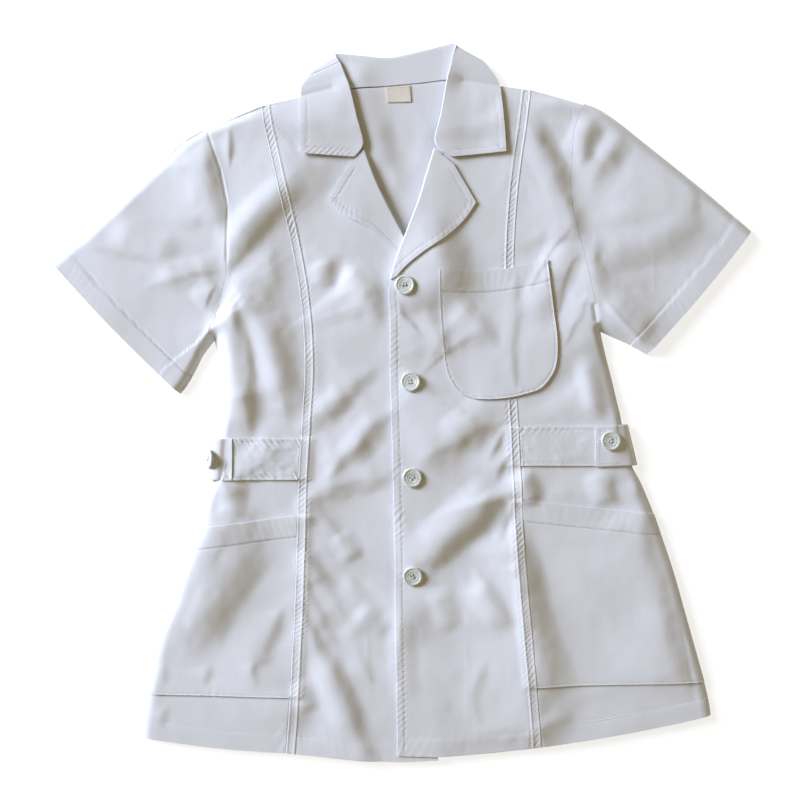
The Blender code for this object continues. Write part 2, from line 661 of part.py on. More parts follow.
def folded_section(near, fold, far, near_top, far_top, cells_near, cells_far):
    """Ring of a strip that runs out to a fold and back: near branch below, far branch above.

    near_top and far_top give the middle height of each branch at a plan point.
    """
    near_line = [mix(near, fold, index / cells_near) for index in range(cells_near)]
    far_line = [mix(fold, far, index / cells_far) for index in range(1, cells_far + 1)]
    run = Vector((far[0] - fold[0], far[1] - fold[1])).normalized()
    low = near_top(*fold)
    high = far_top(*fold)
    radius = (high - low) / 2.0
    middle = (high + low) / 2.0
    half = WALL / 2.0
    over = 1.0 if radius > 0 else -1.0
    outer_bend = abs(radius) + half
    inner_bend = max(abs(radius) - half, LEAST_BEND)

    def bend(reach):
        points = []
        for angle in (-90, -45, 0, 45, 90):
            turn = math.radians(angle)
            out = math.cos(turn) * reach
            rise = over * math.sin(turn) * reach
            points.append((fold[0] - run.x * out, fold[1] - run.y * out, middle + rise))
        return points

    outside = [(x, y, near_top(x, y) - over * half) for x, y in near_line]
    outside += bend(outer_bend)
    outside += [(x, y, far_top(x, y) + over * half) for x, y in far_line]
    inside = [(x, y, near_top(x, y) + over * half) for x, y in near_line]
    inside += bend(inner_bend)
    inside += [(x, y, far_top(x, y) - over * half) for x, y in far_line]
    return outside + inside[::-1]


def build_collar(collection, material):
    """Stand and fall in one strip, folded along the roll line and turned over the shoulders."""
    rows = table(COLLAR)
    stations = 3 * (len(rows) - 1) // 2
    rings = []
    for station in range(stations + 1):
        share = station / stations
        seam = spline([row["seam"] for row in rows], share)
        roll = spline([row["roll"] for row in rows], share)
        outer = spline([row["outer"] for row in rows], share)
        behind = min(max(spline([(row["behind"],) for row in rows], share)[0], 0.0), 1.0)
        on_top = left_top if share > 0.5 else front_top

        def stand(x, y):
            front = on_top(x, y) + COLLAR_CLEAR + STEP - WALL / 2.0
            back = back_top(x, y) - WALL / 2.0
            return front + (back - front) * behind

        def fall(x, y):
            front = on_top(x, y) + COLLAR_CLEAR + 2.0 * STEP - WALL / 2.0
            back = WALL / 2.0
            return front + (back - front) * behind

        rings.append(folded_section(seam, roll, outer, stand, fall, STAND_CELLS, FALL_CELLS))
    return loft("collar", rings, collection, material)


def build_lapel(name, sections, top, collection, material):
    """The turned-out facing: hooked round the front's roll edge and lying on the front."""
    rows = table(sections)
    rings = []
    for station in range(LAPEL_STATIONS * (len(rows) - 1) + 1):
        place = station / LAPEL_STATIONS
        index = min(int(place), len(rows) - 2)
        t = place - index
        roll = mix(rows[index]["roll"], rows[index + 1]["roll"], t)
        outer = mix(rows[index]["outer"], rows[index + 1]["outer"], t)
        inward = min(HOOK / math.dist(roll, outer), HOOK_SHARE)
        hook = mix(roll, outer, inward)

        def below(x, y):
            return top(x, y) - STEP - LAPEL_CLEAR - WALL / 2.0

        def above(x, y):
            return top(x, y) + STEP + LAPEL_CLEAR - WALL / 2.0

        rings.append(folded_section(hook, roll, outer, below, above, 1, LAPEL_CELLS))
    return loft(name, rings, collection, material)


def build_chest_pocket(collection, material):
    rows = table(CHEST_POCKET)
    columns = CHEST_POCKET_COLUMNS
    grid = []
    for station in range(2 * (len(rows) - 1) + 1):
        share = station / (2 * (len(rows) - 1))
        left = spline([row["left"] for row in rows], share)
        right = spline([row["right"] for row in rows], share)
        drop = spline([(row["sag"],) for row in rows], share)[0]
        line = []
        for index in range(columns + 1):
            place = index / columns
            x, y = mix(left, right, place)
            line.append((x, y - drop * 4.0 * place * (1.0 - place)))
        grid.append(line)
    return loft("chest_pocket", sheet_rings(grid, lambda x, y: left_top(x, y) + LOOSE_GAP + WALL),
                collection, material)


def build_belt(collection, material):
    """The half belt: along the surface beneath the back, round both sides and over the tabs."""
    def on_tab(top, x, y):
        return top(x, y) + 2.0 * STEP - WALL / 2.0

    stations = [(BELT_END_RIGHT, front_top, 0.0)]
    stations += [(x, z, RIGHT_WRAP_SLANT) for x, z in RIGHT_WRAP]
    floor_start = RIGHT_WRAP[-1][0]
    floor_run = LEFT_WRAP[-1][0] - floor_start
    for index in range(1, BELT_FLOOR_STATIONS):
        stations.append((floor_start + floor_run * index / BELT_FLOOR_STATIONS, WALL / 2.0, 0.0))
    stations += [(x, z, LEFT_WRAP_SLANT) for x, z in reversed(LEFT_WRAP)]
    stations += [(x, left_top, 0.0) for x in (*LEFT_BELT_RUN, BELT_END_LEFT)]
    shares = [cell / BELT_WIDTH_CELLS for cell in range(BELT_WIDTH_CELLS + 1)]
    offsets = [BELT_HALF_WIDTH * (2.0 * share - 1.0) for share in shares]
    lines = []
    for offset in offsets:
        line = []
        for x, height, slant in stations:
            y = belt_middle(x) + offset
            z = on_tab(height, x, y) if callable(height) else height
            line.append(Vector((x + slant * offset, y, z)))
        lines.append(line)
    rings = []
    for station in range(len(stations)):
        upper = []
        lower = []
        for line in lines:
            before = line[max(station - 1, 0)]
            after = line[min(station + 1, len(stations) - 1)]
            normal = Vector((-(after.z - before.z), 0.0, after.x - before.x)).normalized()
            upper.append(tuple(line[station] + normal * WALL / 2.0))
            lower.append(tuple(line[station] - normal * WALL / 2.0))
        rings.append(upper + lower[::-1])
    return loft("back_belt", rings, collection, material)


def button_mesh():
    """Turned button with a rim and a dished middle, pierced by four thread holes."""
    outline = ((0.0, BUTTON_THICKNESS - BUTTON_DISH),
               (BUTTON_RADIUS - 2.0 * BUTTON_RIM, BUTTON_THICKNESS - BUTTON_DISH),
               (BUTTON_RADIUS - BUTTON_RIM, BUTTON_THICKNESS),
               (BUTTON_RADIUS - BUTTON_BEVEL, BUTTON_THICKNESS - BUTTON_BEVEL_DROP),
               (BUTTON_RADIUS, BUTTON_THICKNESS / 2.0),
               (BUTTON_RADIUS - BUTTON_RIM, 0.0),
               (0.0, 0.0))
    mesh = bpy.data.meshes.new("button_outline")
    mesh.from_pydata([(x * MM, 0.0, z * MM) for x, z in outline],
                     [(index, index + 1) for index in range(len(outline) - 1)], [])
    return mesh


def add_button(name, place, normal, collection, cutters, material):
    """A button with its underside at the given place, facing along the normal."""
    obj = bpy.data.objects.new(name, button_mesh())
    obj.data.materials.append(material)
    collection.objects.link(obj)
    screw = obj.modifiers.new("turn", "SCREW")
    screw.steps = BUTTON_SEGMENTS
    screw.render_steps = BUTTON_SEGMENTS
    screw.use_merge_vertices = True
    screw.merge_threshold = WELD_DISTANCE
    turn = normal.to_track_quat("Z", "Y").to_matrix().to_4x4()
    obj.matrix_world = Matrix.Translation(place * MM) @ turn
    for index in range(BUTTON_HOLES):
        angle = math.tau * (index + 0.5) / BUTTON_HOLES
        bpy.ops.mesh.primitive_cylinder_add(vertices=HOLE_SIDES, radius=BUTTON_HOLE_RADIUS * MM,
                                            depth=HOLE_CUTTER_LENGTH * MM)
        cutter = bpy.context.object
        cutter.name = "cut_" + name + "_" + str(index + 1)
        for owner in list(cutter.users_collection):
            owner.objects.unlink(cutter)
        cutters.objects.link(cutter)
        reach = BUTTON_HOLE_OFFSET * MM
        cutter.matrix_world = obj.matrix_world @ Matrix.Translation(
            (math.cos(angle) * reach, math.sin(angle) * reach, BUTTON_THICKNESS * MM / 2.0))
        cutter.hide_render = True
        cutter.display_type = "WIRE"
        hole = obj.modifiers.new("hole", "BOOLEAN")
        hole.object = cutter
        hole.operation = "DIFFERENCE"
    return obj


def resting_place(x, y, top, clearance):
    """Place and normal for a button on a surface: clear of it all round its rim."""
    reach = BUTTON_RADIUS
    slope_x = (top(x + reach, y) - top(x - reach, y)) / (2.0 * reach)
    slope_y = (top(x, y + reach) - top(x, y - reach)) / (2.0 * reach)
    normal = Vector((-slope_x, -slope_y, 1.0)).normalized()
    lift = -math.inf
    for step in range(RIM_DIRECTIONS):
        angle = math.tau * step / RIM_DIRECTIONS
        for share in RIM_SHARES:
            off_x = math.cos(angle) * reach * share
            off_y = math.sin(angle) * reach * share
            lift = max(lift, top(x + off_x, y + off_y) - slope_x * off_x - slope_y * off_y)
    return Vector((x, y, lift + clearance)), normal


def make_material(name, finish):
    colour, roughness = finish
    material = bpy.data.materials.new(name)
    material.use_nodes = True
    shader = material.node_tree.nodes["Principled BSDF"]
    shader.inputs["Base Color"].default_value = (*colour, 1.0)
    shader.inputs["Roughness"].default_value = roughness
    shader.inputs["Metallic"].default_value = 0.0
    material.diffuse_color = (*colour, 1.0)
    return material


def empty_scene():
    for obj in list(bpy.data.objects):
        bpy.data.objects.remove(obj)


def new_collection(name):
    collection = bpy.data.collections.new(name)
    bpy.context.scene.collection.children.link(collection)
    return collection


def build():
    empty_scene()
    parts = new_collection("nurse_tunic")
    cutters = new_collection("cutters")

    def cloth(name):
        return make_material(name + "_cloth", CLOTH)

    loft("back", sheet_rings(back_grid(), back_top), parts, cloth("back"))
    loft("front_right", sheet_rings(front_grid("right"), front_top), parts, cloth("front_right"))
    loft("front_left", sheet_rings(front_grid("left"), left_top), parts, cloth("front_left"))
    for wearer, toward, top in (("right", -1.0, front_top), ("left", 1.0, left_top)):
        side, seam = wearer + "_side", wearer + "_seam"

        def raised(x, y):
            return top(x, y) + STEP

        name = "side_front_" + wearer
        loft(name, sheet_rings(side_grid(side, seam, toward), top), parts, cloth(name))
        name = "hip_pocket_" + wearer
        pocket = side_grid(side, seam, toward, "pocket_top", "pocket_bottom")
        loft(name, sheet_rings(pocket, raised), parts, cloth(name))
        name = "waist_tab_" + wearer
        tab = [line[:-1] for line in side_grid(side, seam, toward, "tab_top", "tab_bottom")]
        loft(name, sheet_rings(tab, raised), parts, cloth(name))
    build_sleeve("sleeve_right", RIGHT_SLEEVE, "right_side", -1.0, parts, cloth("sleeve_right"))
    build_sleeve("sleeve_left", LEFT_SLEEVE, "left_side", 1.0, parts, cloth("sleeve_left"))
    build_collar(parts, cloth("collar"))
    build_lapel("lapel_right", RIGHT_LAPEL, front_top, parts, cloth("lapel_right"))
    build_lapel("lapel_left", LEFT_LAPEL, left_top, parts, cloth("lapel_left"))
    build_chest_pocket(parts, cloth("chest_pocket"))
    build_belt(parts, cloth("back_belt"))
    label = [across(LABEL_CORNERS[0], LABEL_CORNERS[1], LABEL_CELLS),
             across(LABEL_CORNERS[3], LABEL_CORNERS[2], LABEL_CELLS)]
    loft("neck_label", sheet_rings(label, lambda x, y: back_top(x, y) + GAP + LABEL_WALL, LABEL_WALL),
         parts, make_material("neck_label_tape", LABEL_TAPE))
    for number, (x, y) in enumerate(FRONT_BUTTONS, 1):
        name = "front_button_" + str(number)
        place, normal = resting_place(x, y, left_top, GAP)
        add_button(name, place, normal, parts, cutters, make_material(name + "_resin", BUTTON_RESIN))
    place, normal = resting_place(*LEFT_BELT_BUTTON, lambda x, y: left_top(x, y) + 2.0 * STEP, 2.0 * GAP)
    add_button("belt_button_left", place, normal, parts, cutters,
               make_material("belt_button_left_resin", BUTTON_RESIN))
    add_button("belt_button_right", Vector(RIGHT_BELT_BUTTON), Vector(RIGHT_BELT_BUTTON_FACES),
               parts, cutters, make_material("belt_button_right_resin", BUTTON_RESIN))


build()
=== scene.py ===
"""Looks of a short-sleeved work tunic laid flat: cloth shells, sewing, buttons, floor and light.

Lengths are in millimetres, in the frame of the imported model, and become metres when a mesh is
made. +X is the wearer's left, +Y points to the collar, +Z is up. Places read off the photograph
are in its pixels and pass through from_photo().
"""
import math

import bpy
import numpy as np
from mathutils import Matrix, Vector


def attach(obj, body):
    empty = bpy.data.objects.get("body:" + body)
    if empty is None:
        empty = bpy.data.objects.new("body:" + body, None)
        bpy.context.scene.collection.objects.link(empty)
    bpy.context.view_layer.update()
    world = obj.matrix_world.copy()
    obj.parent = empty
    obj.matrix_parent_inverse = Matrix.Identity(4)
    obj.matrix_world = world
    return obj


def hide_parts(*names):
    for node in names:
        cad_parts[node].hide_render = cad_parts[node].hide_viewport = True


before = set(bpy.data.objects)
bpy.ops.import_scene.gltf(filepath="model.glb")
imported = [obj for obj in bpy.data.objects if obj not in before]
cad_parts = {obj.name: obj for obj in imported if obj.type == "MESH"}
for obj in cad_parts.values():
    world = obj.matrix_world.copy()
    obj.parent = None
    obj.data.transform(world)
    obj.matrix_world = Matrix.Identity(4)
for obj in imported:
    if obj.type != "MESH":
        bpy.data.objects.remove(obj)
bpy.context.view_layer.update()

MM = 0.001

# Scale of the photograph: millimetres a pixel, the pixel over the origin and the middle pixel
PHOTO_SCALE = 1.05
PHOTO_CENTRE = (401.75, 402.0)
PHOTO_MIDDLE = (400.0, 400.0)

# Sizes shared with the solids: walls, the air inside, the belt, the collar and the lap
WALL = 1.4
GAP = 0.3
STEP = WALL + GAP
AIR = 4.2
LOOSE_GAP = 0.95
LAPEL_CLEAR = 0.35
COLLAR_CLEAR = 0.25
HOOK = 7.0
HOOK_SHARE = 0.6
BELT_HALF_WIDTH = 21.4
BELT_MIDDLE_X = -194.0
BELT_MIDDLE_Y = -60.0
BELT_RISE = 0.0346
BELT_PLATEAU = 22.4
BELT_RAMP = 33.0
FRONT_BELT_RAMP = 95.0
COLLAR_RAMP_LOW = 268.0
COLLAR_RAMP_HIGH = 296.0
LAP_END = 30.0
LAP_FADE = 44.0
LAP_CLEAR = 0.1
LAPEL_LIFT = 4.6
LAPEL_LIFT_PLACE = (6.0, 146.0)
LAPEL_LIFT_REACH = 74.0
LAPEL_LIFT_CORE = 0.45
HEM_SAG = 2.6
HEM_SAG_START = 0.94
UNDER_HEM_DROP = 6.0
BACK_HEM_DROP = 29.0
BACK_HEM_START = 0.7
NECKLINE_FADE_ROWS = 6.0
NECK_INSIDE_LOW = 120.0
NECK_INSIDE_FADE = 40.0
CUFF_BOW = 2.6
CUFF_SLANT = 0.7
BUTTON_RADIUS = 10.2
BUTTON_THICKNESS = 3.0
POCKET_LENGTH = 146.0
POCKET_WIDTH = 116.0
TAB_INSET = 0.11

# Shells: thickness, sizes of the cells, rounded edges, and where pieces meet
SHELL = 1.15
CELL = 2.2
FINE_CELL = 0.85
LONG_CELL = 1.5
BACK_CELL = 5.0
POCKET_CELL = 1.9
UNDER_STEP = 4
BACK_UNDER_STEP = 3
EDGE_SOFTNESS = 0.3
BACK_SOFTNESS = 0.2
EDGE_SHARE = 0.25
SEAM_SHIFT = 4.2
SEAM_HALF_GAP = 0.05
SEAM_FINE = 13.0
EDGE_FINE = 10.0
SIDE_FINE = 3.0
POCKET_FINE = (26.0, 10.0)
ARMHOLE_GAP = 0.15
SLEEVE_BEND = ((0.45, 0.75), (0.8, 0.0), (0.45, -0.75))
SHARP_ANGLE = 55.0
HIDDEN_RISE = 0.15
LEAST_LIFT = -0.1

# How the cloth rolls down to its closed edges, and more slowly under the collar
EDGE_ROLL = 9.0
COLLAR_ROLL = 34.0
COLLAR_ROLL_END = 165.0
COLLAR_ROLL_LOW = 235.0
COLLAR_ROLL_FADE = 50.0
EDGE_SLOPE = 1.2
LEAST_RISE = 0.01
CAP_SHARPNESS = 4.0
LOWEST_SWELL = 1.2

# Large folds: where the light comes from, and how a crest stands beside its flank
LIGHT_FROM = (-0.78, 0.62)
CREST_OFFSET = 0.45
FOLD_REACH = 1.25
FOLD_TAPER = 0.3
BROAD_SHARE = 0.7

# Creases: the key light's way in plan, the steep flank, the slopes on both its sides and the ends
KEY_FROM = (-0.90, 0.43)
CREASE_REACH = 8.0
CREASE_STEEP = 2.3
CREASE_CREST = 0.80
FLANK_HALF = 0.35
SLOPE_POWER = 1.3
LIT_SLOPE = 1.9
FOOT_SLOPE = 1.5
LONGEST_LIT = 26.0
LONGEST_FOOT = 20.0
LEAST_SLOPE = 0.45
END_REACH = 0.3
END_WIDTH = 0.6
CREASE_TAPER = 0.5
TAPER_LENGTH = 22.0
TAPER_BY_WIDTH = 0.7
LINE_TAPERS = 5.0

# Layers of smooth noise: height, cell across, cell along and seed. Creases drift off their paths,
# cloth swells a little everywhere, and each loose piece has marks of its own
DRIFT_X = ((3.2, 27.0, 31.0, 61), (1.1, 9.0, 10.0, 62))
DRIFT_Y = ((3.2, 29.0, 26.0, 63), (1.1, 10.0, 9.0, 64))
SWELLS = ((1.15, 52.0, 64.0, 3), (0.14, 13.0, 19.0, 11))
LEANING_SWELLS = ((0.60, 30.0, 41.0, 7), (0.05, 6.5, 9.0, 13))
COLLAR_DRAPE = ((0.35, 17.0, 26.0, 29),)
LAPEL_DRAPE = ((0.25, 16.0, 24.0, 31),)
TAB_RUMPLE = {"right": 0.55, "left": 0.25}

# Sewing: raised bands, pulled stitches, the welts of the princess seams, and pucker
GROOVE_WIDTH = 0.85
RIM_WIDTH = 0.85
WELT_RIM = 1.0
WELT_STEP = 1.8
WELT_ROPES = 0.48
WELT_SUNK = 0.12
WELT_OVER = 13.0
WELT_OVER_ENDS = 3.0
WELT_OVER_FADE = 5.0
BAND_EDGE = 1.6
PUCKER_WANDER = 0.8
PUCKER_MEAN = 0.62
PUCKER_SPREAD = 0.55
PUCKER_MOST = 1.2
LONGEST_PLAIN_TRIM = 4.5
STITCH_PITCH = 3.1
STITCH_LENGTH = 2.3
STITCH_WIDTH = 0.55
STITCH_HEIGHT = 0.28
STITCH_STATIONS = ((-1.0, 0.0), (-0.72, 0.8), (0.0, 1.0), (0.72, 0.8), (1.0, 0.0))
STITCH_SIDES = ((1.0, 0.0), (0.0, 1.0), (-1.0, 0.0), (0.0, -1.0))

# Collar and lapels: stations along them, cells across them, and how flat their folds are
COLLAR_STATIONS = 230
COLLAR_CELLS = (10, 42)
LAPEL_STATIONS = 132
LAPEL_CELLS = (3, 34)
ROLL_FLATNESS = 0.62
ROLL_STEPS = 9
COLLAR_SHOWN = 0.02
CROSSES_NECK = (0.42, 0.16)

# Belt and neck label
BELT_FLOOR_STOPS = 9
BELT_SINK = 0.12
BELT_CELLS = 20
BELT_STATIONS = 220
BELT_SHOWN_STATIONS = 40
BELT_SHOWN_LENGTH = 26.0
BELT_SHOWN_ABOVE = 3.0
BELT_PUCKER = 0.22
BELT_PITCH = 5.8
BELT_PUCKER_REACH = 7.0
BELT_GROOVE = 0.3
BELT_GROOVE_WIDTH = 0.9
BELT_STITCH_INSET = 3.4
LABEL_THICKNESS = 0.7
LABEL_CELLS = (12, 9)
LABEL_SOFTNESS = 0.12
LABEL_SAG = 0.35
LABEL_SAG_TOP = 324.0
LABEL_STITCH_HEIGHT = 0.2

# Buttons: distance from the middle, then depth below the top or height of the underside
BUTTON_FACE = (
    (0.0, 0.95), (2.9, 0.98), (4.2, 1.02), (5.0, 0.90), (5.5, 0.62), (6.0, 0.60), (6.6, 0.78),
    (7.2, 0.72), (7.9, 0.22), (8.6, 0.02), (9.2, 0.05), (9.8, 0.38), (BUTTON_RADIUS, 0.95),
    (BUTTON_RADIUS, 1.5),
)
BUTTON_UNDERSIDE = ((9.7, 0.7), (8.2, 0.1), (6.0, 0.0), (0.0, 0.0))
BUTTON_SEGMENTS = 64
BUTTON_SHARP_ANGLE = 40.0
BUTTON_TURNS = (8.0, -14.0, 20.0, 40.0, 4.0, 60.0)
BUTTON_REST_STEPS = 24
HOLE_RADIUS = 0.95
HOLE_OUT = 2.1
THREAD_OUT = 1.48
THREAD_RADIUS = 0.24
THREAD_STRANDS = (-0.34, 0.0, 0.34)
SHANK_RADIUS = 1.6
BUTTONHOLE_REACH = 11.6
BUTTONHOLE_PITCH = 0.75
BUTTONHOLE_HALF_WIDTH = 1.1
BUTTONHOLE_HEIGHT = 0.36

# Floor, room and camera
FLOOR_GAP = 0.2
FLOOR_HALF = 40.0
FLOOR_GLOW = 0.75
FOCUS_HEIGHT = 4.0
CAMERA_LENS = 50.0
CAMERA_SENSOR = 36.0
ROOM_COLOUR = (1.0, 0.80, 0.38)
ROOM_STRENGTH = 0.27
WALL_LIGHT = (0.86, 0.86, 0.85)
WALL_TOP = 0.10
WALL_FADE = 0.10
LIGHTS = (
    ("name", "x", "y", "z", "size", "power", "colour"),
    ("key", -5.43, 2.59, 2.68, 3.0, 762.0, (0.70, 0.785, 1.0)),
)

# Woven materials: light and dark tone, thickness of a yarn in metres, roughness and sheen
CLOTHS = (
    ("name", "light", "dark", "yarn", "roughness", "sheen"),
    ("white_weave", (0.79, 0.80, 0.83), (0.755, 0.765, 0.795), 0.00042, 0.84, 0.12),
    ("cream_tape", (0.84, 0.78, 0.68), (0.80, 0.73, 0.62), 0.0005, 0.8, 0.1),
)

# Side edges and princess seams, a row per section from the shoulder to the hem
SIDES = (
    ("name", "right_side", "right_seam", "left_seam", "left_side"),
    ("shoulder", (-205.5, 285.6), (-143.6, 309.8), (132.0, 327.0), (190.6, 311.9)),
    ("yoke", (-194.5, 262.0), (-140.0, 288.0), (126.0, 285.0), (179.6, 284.0)),
    ("upper_chest", (-184.0, 232.0), (-133.5, 260.0), (121.3, 252.0), (178.4, 255.0)),
    ("gorge", (-180.0, 205.0), (-126.8, 231.0), (118.5, 228.0), (176.9, 228.2)),
    ("lapel_tip", (-181.0, 180.0), (-120.5, 204.0), (116.2, 203.0), (179.3, 201.0)),
    ("lapel", (-182.5, 155.0), (-115.0, 179.0), (114.7, 178.0), (184.5, 179.0)),
    ("pocket_mouth", (-184.5, 133.0), (-110.0, 155.0), (113.8, 153.0), (190.5, 156.0)),
    ("crossing_high", (-189.0, 113.0), (-105.5, 131.0), (113.8, 130.0), (195.8, 133.5)),
    ("crossing", (-192.0, 101.0), (-104.0, 121.0), (114.0, 119.0), (198.4, 121.0)),
    ("break", (-194.5, 90.0), (-102.8, 111.0), (114.3, 108.0), (201.0, 108.0)),
    ("underarm", (-196.5, 66.0), (-99.5, 82.0), (115.3, 85.0), (208.5, 75.0)),
    ("bust", (-192.0, 48.0), (-98.0, 55.0), (116.0, 58.0), (214.0, 50.0)),
    ("ribs", (-192.0, 22.0), (-97.6, 27.0), (116.6, 30.0), (221.0, 22.0)),
    ("high_waist", (-188.5, -6.0), (-99.3, -4.0), (117.0, 3.0), (226.0, 0.0)),
    ("over_tab", (-189.5, -24.0), (-100.5, -22.0), (117.8, -12.0), (229.0, -12.0)),
    ("tab_top", (-191.5, -38.0), (-101.5, -38.2), (118.7, -26.0), (231.5, -25.0)),
    ("tab_middle", (-194.0, -60.0), (-102.9, -60.0), (119.5, -46.0), (236.0, -45.0)),
    ("tab_bottom", (-197.5, -82.0), (-104.1, -81.5), (120.5, -67.0), (241.6, -67.0)),
    ("under_tab", (-206.0, -104.0), (-104.7, -99.0), (121.5, -85.0), (251.5, -86.0)),
    ("pocket_top", (-213.5, -131.5), (-105.0, -118.8), (122.3, -103.0), (264.5, -117.0)),
    ("pocket_band", (-224.4, -154.0), (-105.6, -140.0), (123.2, -125.0), (272.5, -139.5)),
    ("hip", (-237.0, -191.0), (-107.0, -182.0), (125.5, -167.0), (285.0, -177.0)),
    ("low_hip", (-248.5, -229.0), (-108.6, -224.0), (129.0, -210.0), (297.0, -219.0)),
    ("thigh", (-258.0, -267.0), (-110.8, -266.0), (132.8, -252.0), (308.0, -258.0)),
    ("pocket_bottom", (-266.7, -306.0), (-112.9, -309.0), (137.0, -298.0), (317.8, -293.5)),
    ("over_hem", (-270.8, -329.0), (-114.8, -338.0), (139.5, -328.0), (322.5, -314.0)),
    ("hem", (-273.8, -351.2), (-117.3, -367.8), (142.3, -361.5), (324.7, -328.7)),
)

# Top of the back between the shoulder tips: right shoulder, neckline, left shoulder
BACK_NECKLINE = (
    (-174.0, 298.6), (-143.6, 309.8), (-105.3, 319.6), (-76.0, 327.6), (-57.2, 327.6), (-38.0, 329.0),
    (-12.0, 331.2), (5.0, 332.8), (22.6, 334.6), (42.0, 337.2), (66.0, 336.0), (103.2, 331.0),
    (132.0, 327.0), (161.0, 320.2),
)

# Neckline and roll edges of the two fronts above the break, a row per section
OPENING = (
    ("name", "right_inner", "right_end", "left_end", "left_inner"),
    ("shoulder", (-98.0, 322.2), (-73.5, 328.6), (64.8, 336.6), (92.0, 333.0)),
    ("yoke", (-90.0, 300.0), (-66.5, 307.0), (57.5, 312.0), (85.0, 303.0)),
    ("upper_chest", (-82.0, 276.0), (-58.0, 284.0), (47.5, 288.0), (76.0, 276.0)),
    ("gorge", (-72.0, 250.0), (-42.4, 260.0), (36.6, 262.0), (68.0, 251.0)),
    ("lapel_tip", (-64.0, 226.0), (-32.4, 236.0), (29.2, 240.0), (60.0, 225.0)),
    ("lapel", (-52.0, 202.0), (-20.9, 210.0), (22.0, 215.0), (52.0, 200.0)),
    ("pocket_mouth", (-38.0, 178.0), (-7.4, 184.5), (13.0, 190.0), (44.0, 176.0)),
    ("crossing_high", (-24.0, 150.0), (6.0, 156.0), (2.6, 163.0), (36.0, 153.0)),
    ("crossing", (-14.0, 130.0), (15.0, 138.0), (-4.8, 141.5), (29.0, 135.0)),
)

# The lap below the break: the edge of the upper front and the edge of the one beneath
LAP = (
    ("name", "edge", "under"),
    ("break", (-13.7, 117.6), (24.4, 117.0)),
    ("underarm", (-12.4, 90.0), (25.5, 90.0)),
    ("bust", (-12.3, 60.0), (26.0, 60.0)),
    ("ribs", (-12.3, 30.0), (26.5, 30.0)),
    ("high_waist", (-11.4, 0.0), (27.0, 0.0)),
    ("over_tab", (-11.0, -16.0), (27.5, -16.0)),
    ("tab_top", (-10.6, -31.0), (28.0, -31.0)),
    ("tab_middle", (-9.9, -52.0), (28.5, -52.0)),
    ("tab_bottom", (-9.3, -74.0), (29.0, -74.0)),
    ("under_tab", (-8.9, -92.0), (29.5, -92.0)),
    ("pocket_top", (-8.4, -111.0), (30.0, -111.0)),
    ("pocket_band", (-7.8, -133.0), (30.5, -133.0)),
    ("hip", (-7.1, -175.0), (31.5, -175.0)),
    ("low_hip", (-7.1, -217.0), (33.0, -217.0)),
    ("thigh", (-6.4, -259.0), (34.5, -259.0)),
    ("pocket_bottom", (-5.5, -304.0), (36.0, -304.0)),
    ("over_hem", (-5.0, -338.0), (37.0, -338.0)),
    ("hem", (-5.0, -370.4), (38.0, -369.5)),
)

# Top and lower edge of each sleeve, a row per section from the armhole to the cuff
RIGHT_SLEEVE = (
    ("name", "top", "low"),
    ("armhole", (-205.5, 285.6), (-196.5, 66.0)),
    ("cap", (-228.6, 273.0), (-203.0, 57.5)),
    ("upper", (-251.7, 251.0), (-208.4, 50.8)),
    ("middle", (-291.6, 212.1), (-215.6, 37.0)),
    ("lower", (-335.7, 172.2), (-225.5, 19.5)),
    ("cuff", (-366.6, 145.8), (-233.7, 9.4)),
)
LEFT_SLEEVE = (
    ("name", "top", "low"),
    ("armhole", (190.6, 311.9), (208.5, 75.0)),
    ("cap", (208.2, 304.5), (216.0, 71.6)),
    ("upper", (235.5, 285.6), (226.0, 67.3)),
    ("middle", (274.0, 255.6), (236.0, 63.0)),
    ("lower", (322.0, 216.8), (248.0, 56.8)),
    ("cuff", (366.5, 178.5), (258.6, 50.8)),
)

# Collar sections: neck seam, roll line, outer edge, and how far the fall has gone behind (0 to 1)
COLLAR = (
    ("name", "seam", "roll", "outer", "behind"),
    ("right_end", (-55.0, 258.3), (-50.0, 256.6), (-105.3, 259.4), 0.0),
    ("right_gorge", (-52.0, 271.0), (-41.0, 270.5), (-105.3, 272.0), 0.0),
    ("right_leaf", (-58.0, 295.0), (-47.5, 298.0), (-105.3, 294.0), 0.0),
    ("right_neck", (-68.0, 322.0), (-55.0, 329.0), (-105.4, 318.0), 0.0),
    ("right_rise", (-71.0, 331.0), (-60.0, 343.0), (-104.4, 330.0), 0.25),
    ("right_turn", (-69.5, 331.5), (-64.5, 355.0), (-97.0, 341.5), 0.5),
    ("right_back", (-66.0, 330.5), (-69.6, 364.8), (-88.0, 350.0), 0.85),
    ("right_fall", (-57.0, 329.0), (-60.0, 364.9), (-79.0, 318.0), 1.0),
    ("right_nape", (-38.0, 330.4), (-40.4, 363.2), (-48.0, 313.0), 1.0),
    ("nape", (-12.0, 332.6), (-11.8, 361.4), (-14.0, 311.0), 1.0),
    ("left_nape", (22.6, 336.0), (22.6, 368.8), (20.0, 317.0), 1.0),
    ("left_fall", (42.0, 338.6), (42.0, 373.5), (66.0, 326.0), 1.0),
    ("left_back", (55.0, 339.8), (56.2, 375.8), (79.0, 360.0), 0.85),
    ("left_turn", (61.5, 340.2), (53.5, 362.0), (94.0, 347.0), 0.5),
    ("left_rise", (62.5, 339.2), (51.0, 350.0), (102.2, 333.5), 0.25),
    ("left_neck", (60.5, 330.0), (47.8, 337.0), (104.0, 320.0), 0.0),
    ("left_leaf", (51.0, 296.0), (41.2, 300.0), (106.4, 294.0), 0.0),
    ("left_gorge", (46.0, 271.0), (35.6, 270.5), (108.2, 272.0), 0.0),
    ("left_end", (57.5, 257.4), (52.4, 256.0), (108.8, 261.4), 0.0),
)

